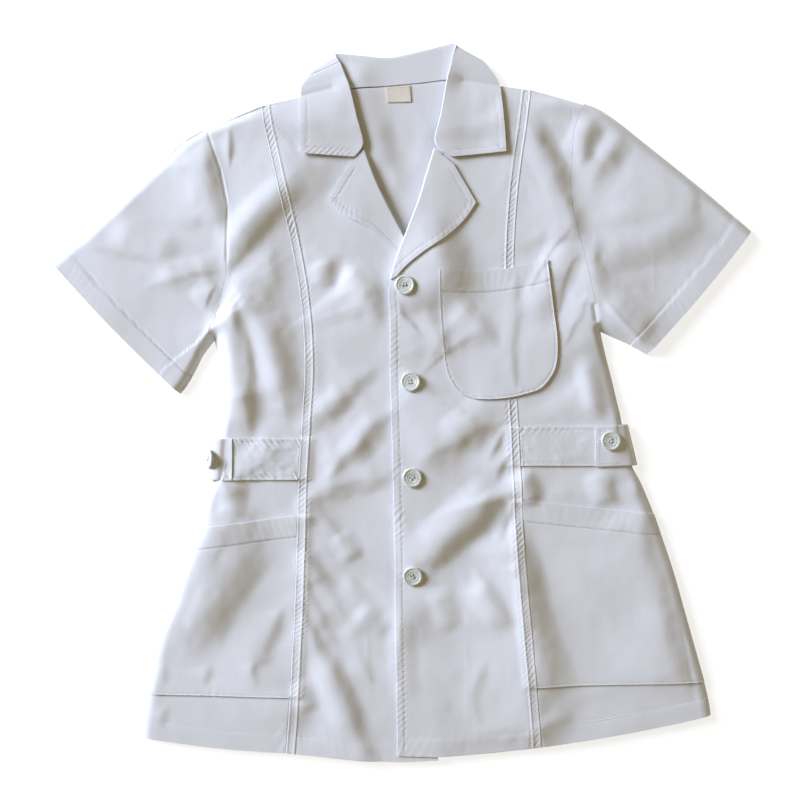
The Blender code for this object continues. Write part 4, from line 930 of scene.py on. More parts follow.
def shell(name, grid, surface, thickness=SHELL, softness=EDGE_SOFTNESS, under=1, floor=None):
    """Closed thin shell over a grid of plan points. The hidden face may have larger cells."""
    rows, columns = grid.shape[:2]
    height = np.array(surface(grid[..., 0], grid[..., 1]))
    rims = (np.s_[0, :], np.s_[-1, :], np.s_[:, 0], np.s_[:, -1])
    below = height - thickness
    rim_below = below + softness * 0.6
    if under > 1:
        below = lowest_near(below, under)
        if floor is not None:
            below = np.maximum(below, floor(grid[..., 0], grid[..., 1]))
    for border in rims:
        height[border] -= softness
        below[border] = rim_below[border]
    below = np.maximum(below, 0.0)
    upper = np.dstack([grid, height]).reshape(-1, 3)
    run = grid[1:, :-1] - grid[:-1, :-1]
    turn = grid[:-1, 1:] - grid[:-1, :-1]
    flip = float(np.sum(run[..., 0] * turn[..., 1] - run[..., 1] * turn[..., 0])) < 0.0
    faces = grid_faces(rows, columns, 0, flip)
    picked_rows = sorted({*range(0, rows, under), rows - 1})
    picked_columns = sorted({*range(0, columns, under), columns - 1})
    kept = np.zeros((rows, columns), dtype=bool)
    kept[np.ix_(picked_rows, picked_columns)] = True
    for border in rims:
        kept[border] = True
    number = np.full((rows, columns), -1)
    number[kept] = rows * columns + np.arange(int(kept.sum()))
    lower = np.dstack([grid, below])[kept]
    for top, bottom in zip(picked_rows, picked_rows[1:]):
        for left, right in zip(picked_columns, picked_columns[1:]):
            down = range(top, bottom) if left == 0 else (top,)
            over = range(left, right) if bottom == rows - 1 else (left,)
            up = range(bottom, top, -1) if right == columns - 1 else (bottom,)
            back = range(right, left, -1) if top == 0 else (right,)
            corners = [(row, left) for row in down] + [(bottom, col) for col in over]
            corners += [(row, right) for row in up] + [(top, col) for col in back]
            face = tuple(int(number[spot]) for spot in corners)
            faces.append(face if flip else face[::-1])
    rim = [(0, col) for col in range(columns)] + [(row, columns - 1) for row in range(1, rows)]
    rim += [(rows - 1, col) for col in range(columns - 2, -1, -1)]
    rim += [(row, 0) for row in range(rows - 2, 0, -1)]
    for here, there in zip(rim, rim[1:] + rim[:1]):
        a, b = here[0] * columns + here[1], there[0] * columns + there[1]
        quad = (a, b, int(number[there]), int(number[here]))
        faces.append(quad[::-1] if flip else quad)
    return new_mesh(name, np.vstack([upper, lower]), faces)


def places(count):
    """Even shares with one more close to each end, where the edge turns over."""
    step = 1.0 / count
    inner = [index * step for index in range(1, count)]
    return np.array([0.0, step * EDGE_SHARE, *inner, 1.0 - step * EDGE_SHARE, 1.0])


def graded(length, cell, start=0.0, end=0.0):
    """Shares of a length in steps of a cell, finer over a reach at each end."""
    parts = []
    spans = ((0.0, start, FINE_CELL), (start, length - end, cell), (length - end, length, FINE_CELL))
    for low, high, step in spans:
        if high - low > 1e-6:
            parts.append(np.linspace(low, high, max(1, round((high - low) / step)) + 1))
    spots = np.unique(np.round(np.concatenate(parts), 6))
    first = spots[0] + (spots[1] - spots[0]) * EDGE_SHARE
    last = spots[-1] - (spots[-1] - spots[-2]) * EDGE_SHARE
    return np.unique(np.append(spots, [first, last])) / length


def section_shares(low=0.0, high=1.0, cell=CELL, start=0.0, end=0.0):
    """Places of the sections along the panels, even in length but for finer ends."""
    walked = lengths_along(column(SIDES, "right_seam"))
    keys = np.linspace(0.0, 1.0, len(walked))
    first, last = np.interp([low, high], keys, walked)
    spots = first + graded(last - first, cell, start, end) * (last - first)
    return np.interp(spots, walked, keys)


def across(start, end, shares):
    return start[:, None, :] + (end - start)[:, None, :] * shares[None, :, None]


def sagged(grid, shares):
    """Lower the middle of the rows near the hem."""
    depth = HEM_SAG * smooth((shares - HEM_SAG_START) / (1.0 - HEM_SAG_START))[:, None]
    start, end = grid[:, :1, 0], grid[:, -1:, 0]
    place = (grid[..., 0] - start) / (end - start)
    grid[..., 1] -= depth * 4.0 * place * (1.0 - place)
    return grid


def share_of(name):
    names = [row[0] for row in SIDES[1:]]
    return names.index(name) / (len(names) - 1)


def shifted_seam(seam, shares):
    line = spline(column(SIDES, seam), shares)
    line[:, 0] += SEAM_SHIFT * (-1.0 if seam == "right_seam" else 1.0)
    return line


def side_grid(wearer, start="shoulder", stop="hem", inset=0.0, cell=LONG_CELL, fine=(0.0, 0.0)):
    """Plan points of a side front, from its princess seam to its outer edge."""
    shares = section_shares(share_of(start), share_of(stop), cell, *fine)
    toward = -1.0 if wearer == "right" else 1.0
    inner = shifted_seam(wearer + "_seam", shares)
    inner[:, 0] += toward * SEAM_HALF_GAP
    outer = spline(column(SIDES, wearer + "_side"), shares)
    outer = outer + (inner - outer) * inset
    width = float(np.abs(outer[:, 0] - inner[:, 0]).mean())
    return sagged(across(inner, outer, graded(width, CELL, SIDE_FINE, SIDE_FINE)), shares)


def front_grid(wearer):
    """Plan points of a centre front, from its princess seam to its free edge."""
    shares = section_shares(cell=LONG_CELL)
    toward = 1.0 if wearer == "right" else -1.0
    lap_inner, lap_end = ("edge", "under") if wearer == "right" else ("under", "edge")
    start = shifted_seam(wearer + "_seam", shares)
    start[:, 0] += toward * SEAM_HALF_GAP
    inner = spline(np.vstack([column(OPENING, wearer + "_inner"), column(LAP, lap_inner)]), shares)
    end = spline(np.vstack([column(OPENING, wearer + "_end"), column(LAP, lap_end)]), shares)
    wide = float(np.abs(inner[:, 0] - start[:, 0]).mean())
    lap = float(np.abs(end[:, 0] - inner[:, 0]).mean())
    body = across(start, inner, graded(wide, CELL, SEAM_FINE, 0.0)[:-2])
    lap_shares = np.delete(graded(lap, CELL, 0.0, EDGE_FINE), 1)
    rest = across(inner, end, lap_shares)
    grid = sagged(np.concatenate([body, rest], axis=1), shares)
    if wearer == "right":
        reach = (grid[..., 0] - grid[:, :1, 0]) / (grid[:, -1:, 0] - grid[:, :1, 0])
        low = smooth((shares - HEM_SAG_START) / (1.0 - HEM_SAG_START))[:, None]
        grid[..., 1] -= UNDER_HEM_DROP * smooth(reach) * low
    return grid


def borders_of(grid, names):
    """Each border of a grid as a line with its inward direction."""
    found = {}
    rims = {"top": (grid[0], grid[2] - grid[0]), "bottom": (grid[-1], grid[-3] - grid[-1]),
            "first": (grid[:, 0], grid[:, 2] - grid[:, 0]),
            "last": (grid[:, -1], grid[:, -3] - grid[:, -1])}
    for given, rim in names.items():
        line, inward = rims[rim]
        keep = np.unique(np.append(np.arange(0, len(line), 3), len(line) - 1))
        found[given] = (line[keep], inward[keep])
    return found


def stitch_line(line, inward, offset, trim):
    """Points a stitch apart on a line set in from a border, with the way each one runs."""
    run = np.gradient(line, axis=0)
    run /= np.maximum(np.hypot(run[:, 0], run[:, 1]), 1e-9)[:, None]
    normal = inward - run * np.sum(inward * run, axis=1)[:, None]
    normal /= np.maximum(np.hypot(normal[:, 0], normal[:, 1]), 1e-9)[:, None]
    path = line + normal * offset
    walked = lengths_along(path)
    count = int((walked[-1] - 2.0 * trim) / STITCH_PITCH)
    if count < 2:
        return np.zeros((0, 2)), np.zeros((0, 2))
    spots = trim + (np.arange(count) + 0.5) * (walked[-1] - 2.0 * trim) / count
    points = np.stack([np.interp(spots, walked, path[:, axis]) for axis in (0, 1)], axis=1)
    ways = np.stack([np.interp(spots, walked, run[:, axis]) for axis in (0, 1)], axis=1)
    return points, ways / np.hypot(ways[:, 0], ways[:, 1])[:, None]


def stitches(name, runs, surface, height=STITCH_HEIGHT):
    """One mesh of small rounded stitches that lie along a surface."""
    points = np.vstack([run[0] for run in runs])
    ways = np.vstack([run[1] for run in runs])
    if not len(points):
        return None
    reach = STITCH_LENGTH / 2.0
    side_ways = np.stack([-ways[:, 1], ways[:, 0]], axis=1)
    ring_points = []
    for along, swell in STITCH_STATIONS:
        centre = points + ways * reach * along
        level = surface(centre[:, 0], centre[:, 1]) + height * (0.15 + 0.65 * swell)
        for out, up in (STITCH_SIDES if swell > 0 else ((0.0, 0.0),)):
            spot = centre + side_ways * (STITCH_WIDTH / 2.0 * out * swell)
            ring_points.append(np.column_stack([spot, level + height * 0.55 * up * swell]))
    each = len(ring_points)
    cloud = np.stack(ring_points, axis=1).reshape(-1, 3)
    local = []
    for index in range(4):
        nxt = (index + 1) % 4
        local.append((0, 1 + nxt, 1 + index))
        for ring in (1, 5):
            local.append((ring + index, ring + nxt, ring + 4 + nxt, ring + 4 + index))
        local.append((each - 1, 9 + index, 9 + nxt))
    faces = [tuple(each * number + corner for corner in face)
             for number in range(len(points)) for face in local]
    return new_mesh(name, cloud, faces, 180.0)


def finish_cloth(obj, name, material, extras=()):
    """Give a cloth piece its material and let it and its extras stand for its solid."""
    obj.data.materials.append(material)
    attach(obj, "root")
    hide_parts(name)
    for extra in extras:
        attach(extra, "root")


def welt_over_ends(x, y, wearer, line):
    """The princess seam's welt rises over the tab and pocket that are sewn into it."""
    keys = column(SIDES, wearer + "_seam")[:, 1]
    shares = np.linspace(0.0, 1.0, len(keys))
    off = nearest_on(x, y, line)[1]
    total = np.zeros(np.shape(x))
    for top, bottom in (("tab_top", "tab_bottom"), ("pocket_top", "pocket_bottom")):
        high, low = np.interp([share_of(top), share_of(bottom)], shares, keys)
        under_top = smooth((high + WELT_OVER_ENDS - y) / WELT_OVER_FADE)
        over_bottom = smooth((y - low + WELT_OVER_ENDS) / WELT_OVER_FADE)
        total = np.maximum(total, under_top * over_bottom)
    return STEP * total * (1.0 - smooth((off - WELT_OVER * 0.6) / (WELT_OVER * 0.8)))


def sewing_runs(name, borders):
    """The stitch lines of a piece, from its borders."""
    return [stitch_line(*borders[row["border"]], row["offset"], row["trim"])
            for row in table(SEWING) if row["piece"] == name]


def finish_sewn(obj, name, runs, surface, material, thread, height=STITCH_HEIGHT):
    """Finish a cloth piece with its stitches in one mesh."""
    made = stitches("stitches_" + name, runs, surface, height)
    made.data.materials.append(thread)
    finish_cloth(obj, name, material, [made])


def hidden_floor(x, y):
    return back_top(x, y) + HIDDEN_RISE


def dress(name, grid, surface, names, material, thread, softness=EDGE_SOFTNESS, build=None, under=1):
    """Make a piece with its sewing: the shell, and its stitches in one mesh."""
    borders = borders_of(grid, names)
    seam = borders["seam"][0] if name.startswith("front_") else None

    def dressed(x, y):
        total = surface(x, y) + sewn(x, y, name, borders)
        if seam is not None:
            total = total + welt_over_ends(x, y, name.removeprefix("front_"), seam)
        return total

    obj = build(dressed) if build else shell("cloth_" + name, grid, dressed, softness=softness, under=under,
                                             floor=hidden_floor if under > 1 else None)
    finish_sewn(obj, name, sewing_runs(name, borders), dressed, material, thread)


def armhole(side):
    rows = table(SIDES)
    last = next(i for i, row in enumerate(rows) if row["name"] == "underarm")
    return np.array([row[side] for row in rows[:last + 1]], float)


def sleeve_grid(sleeve, side, outward):
    """Plan points of a sleeve between its four edges, rows down the arm and columns across."""
    tops, lows = column(sleeve, "top"), column(sleeve, "low")
    keys = armhole(side)
    hole_length = lengths_along(keys)[-1]
    wide = places(round(float(hole_length) / CELL))
    walked = lengths_along(keys)
    hole = spline(keys, np.interp(wide, walked / walked[-1], np.linspace(0.0, 1.0, len(keys))))
    hole[:, 0] += outward * ARMHOLE_GAP
    cuff = tops[-1] + (lows[-1] - tops[-1]) * wide[:, None]
    bow = CUFF_BOW * 4.0 * wide * (1.0 - wide)
    cuff[:, 0] += outward * bow * CUFF_SLANT
    cuff[:, 1] -= bow * CUFF_SLANT
    down = places(round(math.dist(tops[0], tops[-1]) / CELL))
    top, low = spline(tops, down), spline(lows, down)
    for line in (top, low):
        line[:, 0] += outward * ARMHOLE_GAP * (1.0 - down)
    ruled = hole[None] + (cuff - hole)[None] * down[:, None, None]
    edges = across(top, low, wide)
    start = hole[:1] + (hole[-1:] - hole[:1]) * wide[:, None]
    finish = cuff[:1] + (cuff[-1:] - cuff[:1]) * wide[:, None]
    chord = start[None] + (finish - start)[None] * down[:, None, None]
    return ruled + edges - chord


def sleeve_mesh(name, grid, surface):
    """Flattened tube with rounded folds along its top and lower edge, open at both ends."""
    rows = len(grid)
    top = surface(grid[..., 0], grid[..., 1])
    first_out = grid[:, 0] - grid[:, 2]
    last_out = grid[:, -1] - grid[:, -3]
    first_out /= np.hypot(first_out[:, 0], first_out[:, 1])[:, None]
    last_out /= np.hypot(last_out[:, 0], last_out[:, 1])[:, None]
    rings = []
    for inset in (0.0, SHELL):
        roof = top - inset
        floor = np.full(top.shape, inset)
        if inset:
            floor = np.minimum(floor, roof - 0.1)
        parts = [np.dstack([grid, roof])]
        for side, out, sign in ((-1, last_out, 1.0), (0, first_out, -1.0)):
            high, low = roof[:, side], floor[:, side]
            middle, reach = (high + low) / 2.0, (high - low) / 2.0
            bend = []
            for place, up in SLEEVE_BEND:
                spot = grid[:, side] + out * (reach * place)[:, None]
                bend.append(np.column_stack([spot, middle + reach * up * sign]))
            parts.append(np.stack(bend, axis=1))
            if side == -1:
                parts.append(np.dstack([grid, floor])[:, ::-1])
        rings.append(np.concatenate(parts, axis=1))
    size = rings[0].shape[1]
    points = np.concatenate(rings).reshape(-1, 3)
    shift = rows * size
    faces = ring_faces(rows, size) + ring_faces(rows, size, shift, True)
    for row, turned in ((0, False), (rows - 1, True)):
        for index in range(size):
            here, there = row * size + index, row * size + (index + 1) % size
            quad = (there, here, shift + here, shift + there)
            faces.append(quad[::-1] if turned else quad)
    obj = new_mesh(name, points, faces)
    turn_outward(obj)
    return obj


def turn_outward(obj):
    """Flip a closed mesh whose faces point in."""
    mesh = obj.data
    mesh.calc_loop_triangles()
    corners = np.zeros(len(mesh.vertices) * 3)
    mesh.vertices.foreach_get("co", corners)
    corners = corners.reshape(-1, 3)
    triangles = np.zeros(len(mesh.loop_triangles) * 3, dtype=np.int32)
    mesh.loop_triangles.foreach_get("vertices", triangles)
    a, b, c = (corners[triangles.reshape(-1, 3)[:, index]] for index in range(3))
    if float(np.sum(a * np.cross(b, c))) < 0.0:
        mesh.flip_normals()


def strip_mesh(name, rings):
    """Closed strip through rings of equal size, capped at both ends."""
    rings = np.asarray(rings, float)
    stations, size = rings.shape[:2]
    faces = ring_faces(stations, size)
    last = (stations - 1) * size
    for index in range(size // 2 - 1):
        far = size - 1 - index
        faces.append((index, far, far - 1, index + 1))
        faces.append((last + index, last + index + 1, last + far - 1, last + far))
    obj = new_mesh(name, rings.reshape(-1, 3), faces)
    turn_outward(obj)
    return obj


def folded_rings(near, fold, far, near_height, far_height, cells):
    """Rings of a strip that runs out to a fold and back, for all its stations at once."""
    half = SHELL / 2.0
    cells_near, cells_far = cells
    near_points = [near + (fold - near) * (index / cells_near) for index in range(cells_near)]
    far_shares = places(cells_far)[1:]
    far_points = [fold + (far - fold) * share for share in far_shares]
    run = far - fold
    run = run / np.hypot(run[:, 0], run[:, 1])[:, None]
    low, high = near_height(fold), far_height(fold)
    radius, middle = (high - low) / 2.0, (high + low) / 2.0
    over = np.where(radius > 0.0, 1.0, -1.0)
    outer_bend = np.abs(radius) + half
    inner_bend = np.maximum(np.abs(radius) - half, 0.05)

    def bend(reach):
        made = []
        for angle in np.linspace(-90.0, 90.0, ROLL_STEPS):
            turn = math.radians(angle)
            spot = fold - run * (math.cos(turn) * reach * ROLL_FLATNESS)[:, None]
            made.append(np.column_stack([spot, middle + over * math.sin(turn) * reach]))
        return made

    def branch(points, height, side):
        return [np.column_stack([spot, height(spot) + side * over * half]) for spot in points]

    def wall(side, reach):
        return branch(near_points, near_height, -side) + bend(reach) + branch(far_points, far_height, side)

    return np.stack(wall(1.0, outer_bend) + wall(-1.0, inner_bend)[::-1], axis=1)


def collar_piece(material, thread):
    """Stand and fall in one strip, folded along the roll line and turned over the shoulders."""
    shares = np.linspace(0.0, 1.0, COLLAR_STATIONS + 1)
    seam, roll, outer = (spline(column(COLLAR, name), shares) for name in ("seam", "roll", "outer"))
    behind = np.clip(spline(column(COLLAR, "behind")[:, None], shares)[:, 0], 0.0, 1.0)
    on_left = smooth((shares - CROSSES_NECK[0]) / CROSSES_NECK[1])
    fall_lines = across(roll, outer, np.linspace(0.0, 1.0, 4))
    shown = behind < COLLAR_SHOWN
    right, left = np.flatnonzero(shown & (shares < 0.5)), np.flatnonzero(shown & (shares > 0.5))
    borders = {"right_outer": (outer[right], (roll - outer)[right]),
               "left_outer": (outer[left], (roll - outer)[left]),
               "right_end": (fall_lines[0], fall_lines[6] - fall_lines[0]),
               "left_end": (fall_lines[-1], fall_lines[-7] - fall_lines[-1])}
    fall_rise = COLLAR_CLEAR + 2.0 * STEP - WALL / 2.0

    def lifted(x, y):
        total = sewn(x, y, "collar", borders) + layered(x, y, COLLAR_DRAPE)
        return np.maximum(total + COLLAR_DRAPE[0][0], LEAST_LIFT)

    def ground(spot):
        x, y = spot[:, 0], spot[:, 1]
        return front_surface(x, y) + lap_lift(x, y) * on_left

    def stand(spot):
        front = ground(spot) + COLLAR_CLEAR + STEP - WALL / 2.0
        back = back_surface(spot[:, 0], spot[:, 1]) - WALL / 2.0
        return front + (back - front) * behind

    def fall(spot):
        front = ground(spot) + fall_rise + lifted(spot[:, 0], spot[:, 1])
        return front + (WALL / 2.0 - front) * behind

    def top_face(x, y):
        over = front_surface(x, y) + lap_lift(x, y) * (x > 0.0)
        return over + fall_rise + lifted(x, y) + SHELL / 2.0

    obj = strip_mesh("cloth_collar", folded_rings(seam, roll, outer, stand, fall, COLLAR_CELLS))
    finish_sewn(obj, "collar", sewing_runs("collar", borders), top_face, material, thread)


def lapel_piece(name, sections, surface, material, thread):
    """The turned-out facing: hooked round the front's roll edge and lying on the front."""
    stations = np.linspace(0.0, 1.0, LAPEL_STATIONS + 1)
    roll = spline(column(sections, "roll"), stations)
    keys = column(sections, "outer")
    spans = len(keys) - 1
    straight = keys[0] + (keys[1] - keys[0]) * stations[:, None] * spans
    curved = spline(keys[1:], (stations * spans - 1.0) / (spans - 1))
    outer = np.where((stations * spans < 1.0)[:, None], straight, curved)
    width = np.hypot(*(outer - roll).T)
    inward = np.minimum(HOOK / np.maximum(width, 0.1), HOOK_SHARE)[:, None]
    hook = roll + (outer - roll) * inward
    borders = {"outer": (outer, roll - outer)}

    def above_face(x, y):
        total = sewn(x, y, name, borders) + layered(x, y, LAPEL_DRAPE)
        lifted = np.maximum(total + LAPEL_DRAPE[0][0], LEAST_LIFT)
        return surface(x, y) + STEP + LAPEL_CLEAR - WALL / 2.0 + lifted

    def below(spot):
        return surface(spot[:, 0], spot[:, 1]) - STEP - LAPEL_CLEAR - WALL / 2.0

    def above(spot):
        return above_face(spot[:, 0], spot[:, 1])

    obj = strip_mesh("cloth_" + name, folded_rings(hook, roll, outer, below, above, LAPEL_CELLS))
    finish_sewn(obj, name, sewing_runs(name, borders), lambda x, y: above_face(x, y) + SHELL / 2.0,
                material, thread)


def pocket_grid():
    shares = graded(POCKET_LENGTH, POCKET_CELL, 26.0, 6.0)
    left = spline(column(CHEST_POCKET, "left"), shares)
    right = spline(column(CHEST_POCKET, "right"), shares)
    drop = spline(column(CHEST_POCKET, "sag")[:, None], shares)
    wide = graded(POCKET_WIDTH, POCKET_CELL, 4.0, 4.0)
    grid = across(left, right, wide)
    grid[..., 1] -= drop * 4.0 * wide * (1.0 - wide)
    return grid


def belt_piece(material, thread):
    """The half belt: beneath the back, round both sides and over the tabs."""
    rise = 2.0 * STEP - WALL / 2.0 - BELT_SINK

    def on_tab(surface):
        return lambda x, y: surface(x, y) + rise

    stops = [(BELT_END_RIGHT, on_tab(front_surface), 0.0)]
    stops += [(x, z, RIGHT_WRAP_SLANT) for x, z in RIGHT_WRAP]
    start = RIGHT_WRAP[-1][0]
    run = LEFT_WRAP[-1][0] - start
    stops += [(start + run * index / BELT_FLOOR_STOPS, WALL / 2.0, 0.0)
              for index in range(1, BELT_FLOOR_STOPS)]
    stops += [(x, z, LEFT_WRAP_SLANT) for x, z in reversed(LEFT_WRAP)]
    stops += [(x, on_tab(left_surface), 0.0) for x in (*LEFT_BELT_RUN, BELT_END_LEFT)]
    offsets = BELT_HALF_WIDTH * (2.0 * places(BELT_CELLS) - 1.0)
    lines = []
    for offset in offsets:
        line = []
        for x, height, slant in stops:
            y = belt_middle(x) + offset
            z = float(height(np.array([x]), np.array([y]))[0]) if callable(height) else height
            line.append((x + slant * offset, y, z))
        shares = np.linspace(0.0, 1.0, BELT_STATIONS + 1)
        lines.append(spline(np.array(line), shares))
    lines = np.stack(lines, axis=1)
    tangent = np.gradient(lines, axis=0)
    normal = np.dstack([-tangent[..., 2], np.zeros(lines.shape[:2]), tangent[..., 0]])
    normal /= np.linalg.norm(normal, axis=2)[..., None]
    walked = np.cumsum(np.linalg.norm(tangent[:, 0], axis=1))[:, None]
    edge_off = (BELT_HALF_WIDTH - np.abs(offsets))[None, :]
    ripple = np.sin(walked / BELT_PITCH * math.tau + 2.0 * noise(walked / 21.0, edge_off, 5))
    ripple = BELT_PUCKER * ripple * np.exp(-(edge_off / BELT_PUCKER_REACH) ** 2)
    groove = np.exp(-((edge_off - BELT_STITCH_INSET) / BELT_GROOVE_WIDTH) ** 2)
    shown = smooth((lines[..., 2] - BELT_SHOWN_ABOVE) / BELT_SHOWN_ABOVE)
    lifted = (ripple - BELT_GROOVE * groove) * shown
    soft = np.zeros(offsets.shape)
    soft[[0, -1]] = EDGE_SOFTNESS
    outer = lines + normal * (SHELL / 2.0 + lifted - soft)[..., None]
    inner = lines - normal * (SHELL / 2.0 - soft)[..., None]
    obj = strip_mesh("cloth_back_belt", np.concatenate([outer, inner[:, ::-1]], axis=1))
    end = lines[-BELT_SHOWN_STATIONS:]
    low, high = end[:, 0, :2], end[:, -1, :2]
    flat = np.abs(end[:, 0, 0] - BELT_END_LEFT) < BELT_SHOWN_LENGTH
    runs = [stitch_line(low[flat], (high - low)[flat], BELT_STITCH_INSET, 2.0),
            stitch_line(high[flat], (low - high)[flat], BELT_STITCH_INSET, 2.0),
            stitch_line(end[-1, :, :2], (end[-3] - end[-1])[:, :2], BELT_STITCH_INSET, 4.0)]
    finish_sewn(obj, "back_belt", runs, lambda x, y: left_surface(x, y) + rise + SHELL / 2.0,
                material, thread)


def label_piece(material, thread):
    wide, tall = (places(count) for count in LABEL_CELLS)
    corners = np.array(LABEL_CORNERS)
    top = corners[0] + (corners[1] - corners[0]) * wide[:, None]
    low = corners[3] + (corners[2] - corners[3]) * wide[:, None]
    grid = top[None] + (low - top)[None] * tall[:, None, None]

    def tape(x, y):
        sag = LABEL_SAG * smooth((LABEL_SAG_TOP - y) / 12.0) * (1.0 + 0.6 * np.sin(x / 5.0))
        return back_surface(x, y) + GAP + LABEL_THICKNESS + sag

    obj = shell("cloth_neck_label", grid, tape, LABEL_THICKNESS, LABEL_SOFTNESS)
    runs = [stitch_line(grid[0], grid[2] - grid[0], 1.4, 1.2)]
    finish_sewn(obj, "neck_label", runs, tape, material, thread, LABEL_STITCH_HEIGHT)


def back_grid():
    """Plan points of the back: the neckline and shoulders fade into straight rows."""
    right, left = column(SIDES, "right_side"), column(SIDES, "left_side")
    top_line = np.array([right[0], *BACK_NECKLINE, left[0]])
    lengths = (top_line[:, 0] - top_line[0, 0]) / (top_line[-1, 0] - top_line[0, 0])
    spans = len(right) - 1
    shares = section_shares(cell=BACK_CELL)
    wide = places(round(float(left[0, 0] - right[0, 0]) / BACK_CELL))
    line = np.column_stack([np.interp(wide, lengths, top_line[:, axis]) for axis in (0, 1)])
    start, end = spline(right, shares), spline(left, shares)
    grid = across(start, end, wide)
    fade = np.maximum(0.0, 1.0 - shares * spans / NECKLINE_FADE_ROWS)[:, None]
    first = top_line[0, 1] + (top_line[-1, 1] - top_line[0, 1]) * wide
    lowered = smooth((shares - BACK_HEM_START) / (1.0 - BACK_HEM_START))[:, None]
    grid[..., 1] += (line[:, 1] - first)[None] * fade
    grid[..., 1] -= BACK_HEM_DROP * 4.0 * (wide * (1.0 - wide))[None] * lowered
    return grid


def resting_place(x, y, surface, clearance):
    """Place and facing of a button on a surface, clear of it all round its rim."""
    spots = [(x, y)]
    for step in range(BUTTON_REST_STEPS):
        angle = math.tau * step / BUTTON_REST_STEPS
        for share in (0.5, 0.9):
            reach = BUTTON_RADIUS * share
            spots.append((x + math.cos(angle) * reach, y + math.sin(angle) * reach))
    spots = np.array(spots)
    level = surface(spots[:, 0], spots[:, 1])
    system = np.column_stack([spots[:, 0] - x, spots[:, 1] - y, np.ones(len(spots))])
    slope_x, slope_y, middle = np.linalg.lstsq(system, level, rcond=None)[0]
    lift = float(np.max(level - system @ np.array([slope_x, slope_y, middle])))
    normal = Vector((-slope_x, -slope_y, 1.0)).normalized()
    return Vector((x, y, middle + max(lift, 0.0) + clearance)), normal


def button_piece(name, place, normal, turn, resin, thread):
    """A turned four-hole button with a raised rim, a ring, a dished middle and sewn thread."""
    high, segments = BUTTON_THICKNESS, BUTTON_SEGMENTS
    outline = [(distance, high - sunk) for distance, sunk in BUTTON_FACE] + list(BUTTON_UNDERSIDE)
    points = []
    for distance, level in outline[1:-1]:
        for index in range(segments):
            angle = math.tau * index / segments
            points.append((distance * math.cos(angle), distance * math.sin(angle), level))
    rings = len(outline) - 2
    faces = ring_faces(rings, segments, flip=True)
    points += [(0.0, 0.0, outline[0][1]), (0.0, 0.0, outline[-1][1])]
    crest, base = len(points) - 2, len(points) - 1
    last = (rings - 1) * segments
    for index in range(segments):
        nxt = (index + 1) % segments
        faces.append((crest, index, nxt))
        faces.append((base, last + nxt, last + index))
    obj = new_mesh("button_" + name, points, faces, BUTTON_SHARP_ANGLE)
    for index in range(4):
        angle = math.tau * (index + 0.5) / 4.0
        bpy.ops.mesh.primitive_cylinder_add(vertices=20, radius=HOLE_RADIUS * MM, depth=8.0 * MM)
        cutter = bpy.context.object
        cutter.location = (HOLE_OUT * MM * math.cos(angle), HOLE_OUT * MM * math.sin(angle), 1.5 * MM)
        bpy.context.view_layer.update()
        hole = obj.modifiers.new("hole", "BOOLEAN")
        hole.object = cutter
        hole.operation = "DIFFERENCE"
        hole.solver = "EXACT"
        bpy.context.view_layer.objects.active = obj
        bpy.ops.object.modifier_apply(modifier="hole")
        bpy.data.objects.remove(cutter)
    obj.data.shade_smooth()
    obj.data.set_sharp_from_angle(angle=math.radians(BUTTON_SHARP_ANGLE))
    sewing = button_thread("thread_" + name, high)
    placed = Matrix.Translation(place * MM) @ normal.to_track_quat("Z", "Y").to_matrix().to_4x4()
    placed = placed @ Matrix.Rotation(turn, 4, "Z")
    for made, material in ((obj, resin), (sewing, thread)):
        made.matrix_world = placed
        made.data.materials.clear()
        made.data.materials.append(material)
        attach(made, "root")
    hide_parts(name)


def button_thread(name, high):
    """Two bundles of thread between the holes, and the shank they form beneath."""
    points, faces = [], []

    def tube(line, radius, sides=8):
        start = len(points)
        for number, (x, y, z) in enumerate(line):
            before = Vector(line[max(number - 1, 0)])
            after = Vector(line[min(number + 1, len(line) - 1)])
            way = (after - before).normalized()
            across_way = way.orthogonal().normalized()
            up = way.cross(across_way)
            for index in range(sides):
                angle = math.tau * index / sides
                out = across_way * math.cos(angle) + up * math.sin(angle)
                points.append(tuple(Vector((x, y, z)) + out * radius))
        faces.extend(ring_faces(len(line), sides, start))
        last = start + (len(line) - 1) * sides
        faces.append(tuple(start + index for index in range(sides))[::-1])
        faces.append(tuple(last + index for index in range(sides)))

    reach = THREAD_OUT
    top = high - BUTTON_FACE[0][1]
    for y in (-THREAD_OUT, THREAD_OUT):
        for strand in THREAD_STRANDS:
            rise = top + 0.42 + 0.12 * (strand == 0.0)
            line = [(-reach, y + strand * 0.5, top - 1.2), (-reach, y + strand, rise - 0.12),
                    (-reach * 0.4, y + strand, rise + 0.1), (reach * 0.4, y + strand, rise + 0.1),
                    (reach, y + strand, rise - 0.12), (reach, y + strand * 0.5, top - 1.2)]
            tube(line, THREAD_RADIUS)
    tube([(0.0, 0.0, 0.3), (0.0, 0.0, -0.5)], SHANK_RADIUS, 12)
    return new_mesh(name, points, faces, 60.0)


def buttonhole(name, place, way, surface, thread):
    """A worked buttonhole: close stitches across a slit that shows past the button's rim."""
    way = np.array(way, float) / np.hypot(*way)
    side = np.array([-way[1], way[0]])
    spots, ways = [], []
    for step in np.arange(-BUTTONHOLE_REACH, BUTTONHOLE_REACH + 0.01, BUTTONHOLE_PITCH):
        for out in (-BUTTONHOLE_HALF_WIDTH, BUTTONHOLE_HALF_WIDTH):
            spots.append(np.array(place) + way * step + side * out)
            ways.append(side)
    made = stitches(name, [(np.array(spots), np.array(ways))], surface, BUTTONHOLE_HEIGHT)
    made.data.materials.append(thread)
    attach(made, "root")


def set_inputs(shader, values):
    for key, value in values.items():
        shader.inputs[key].default_value = value


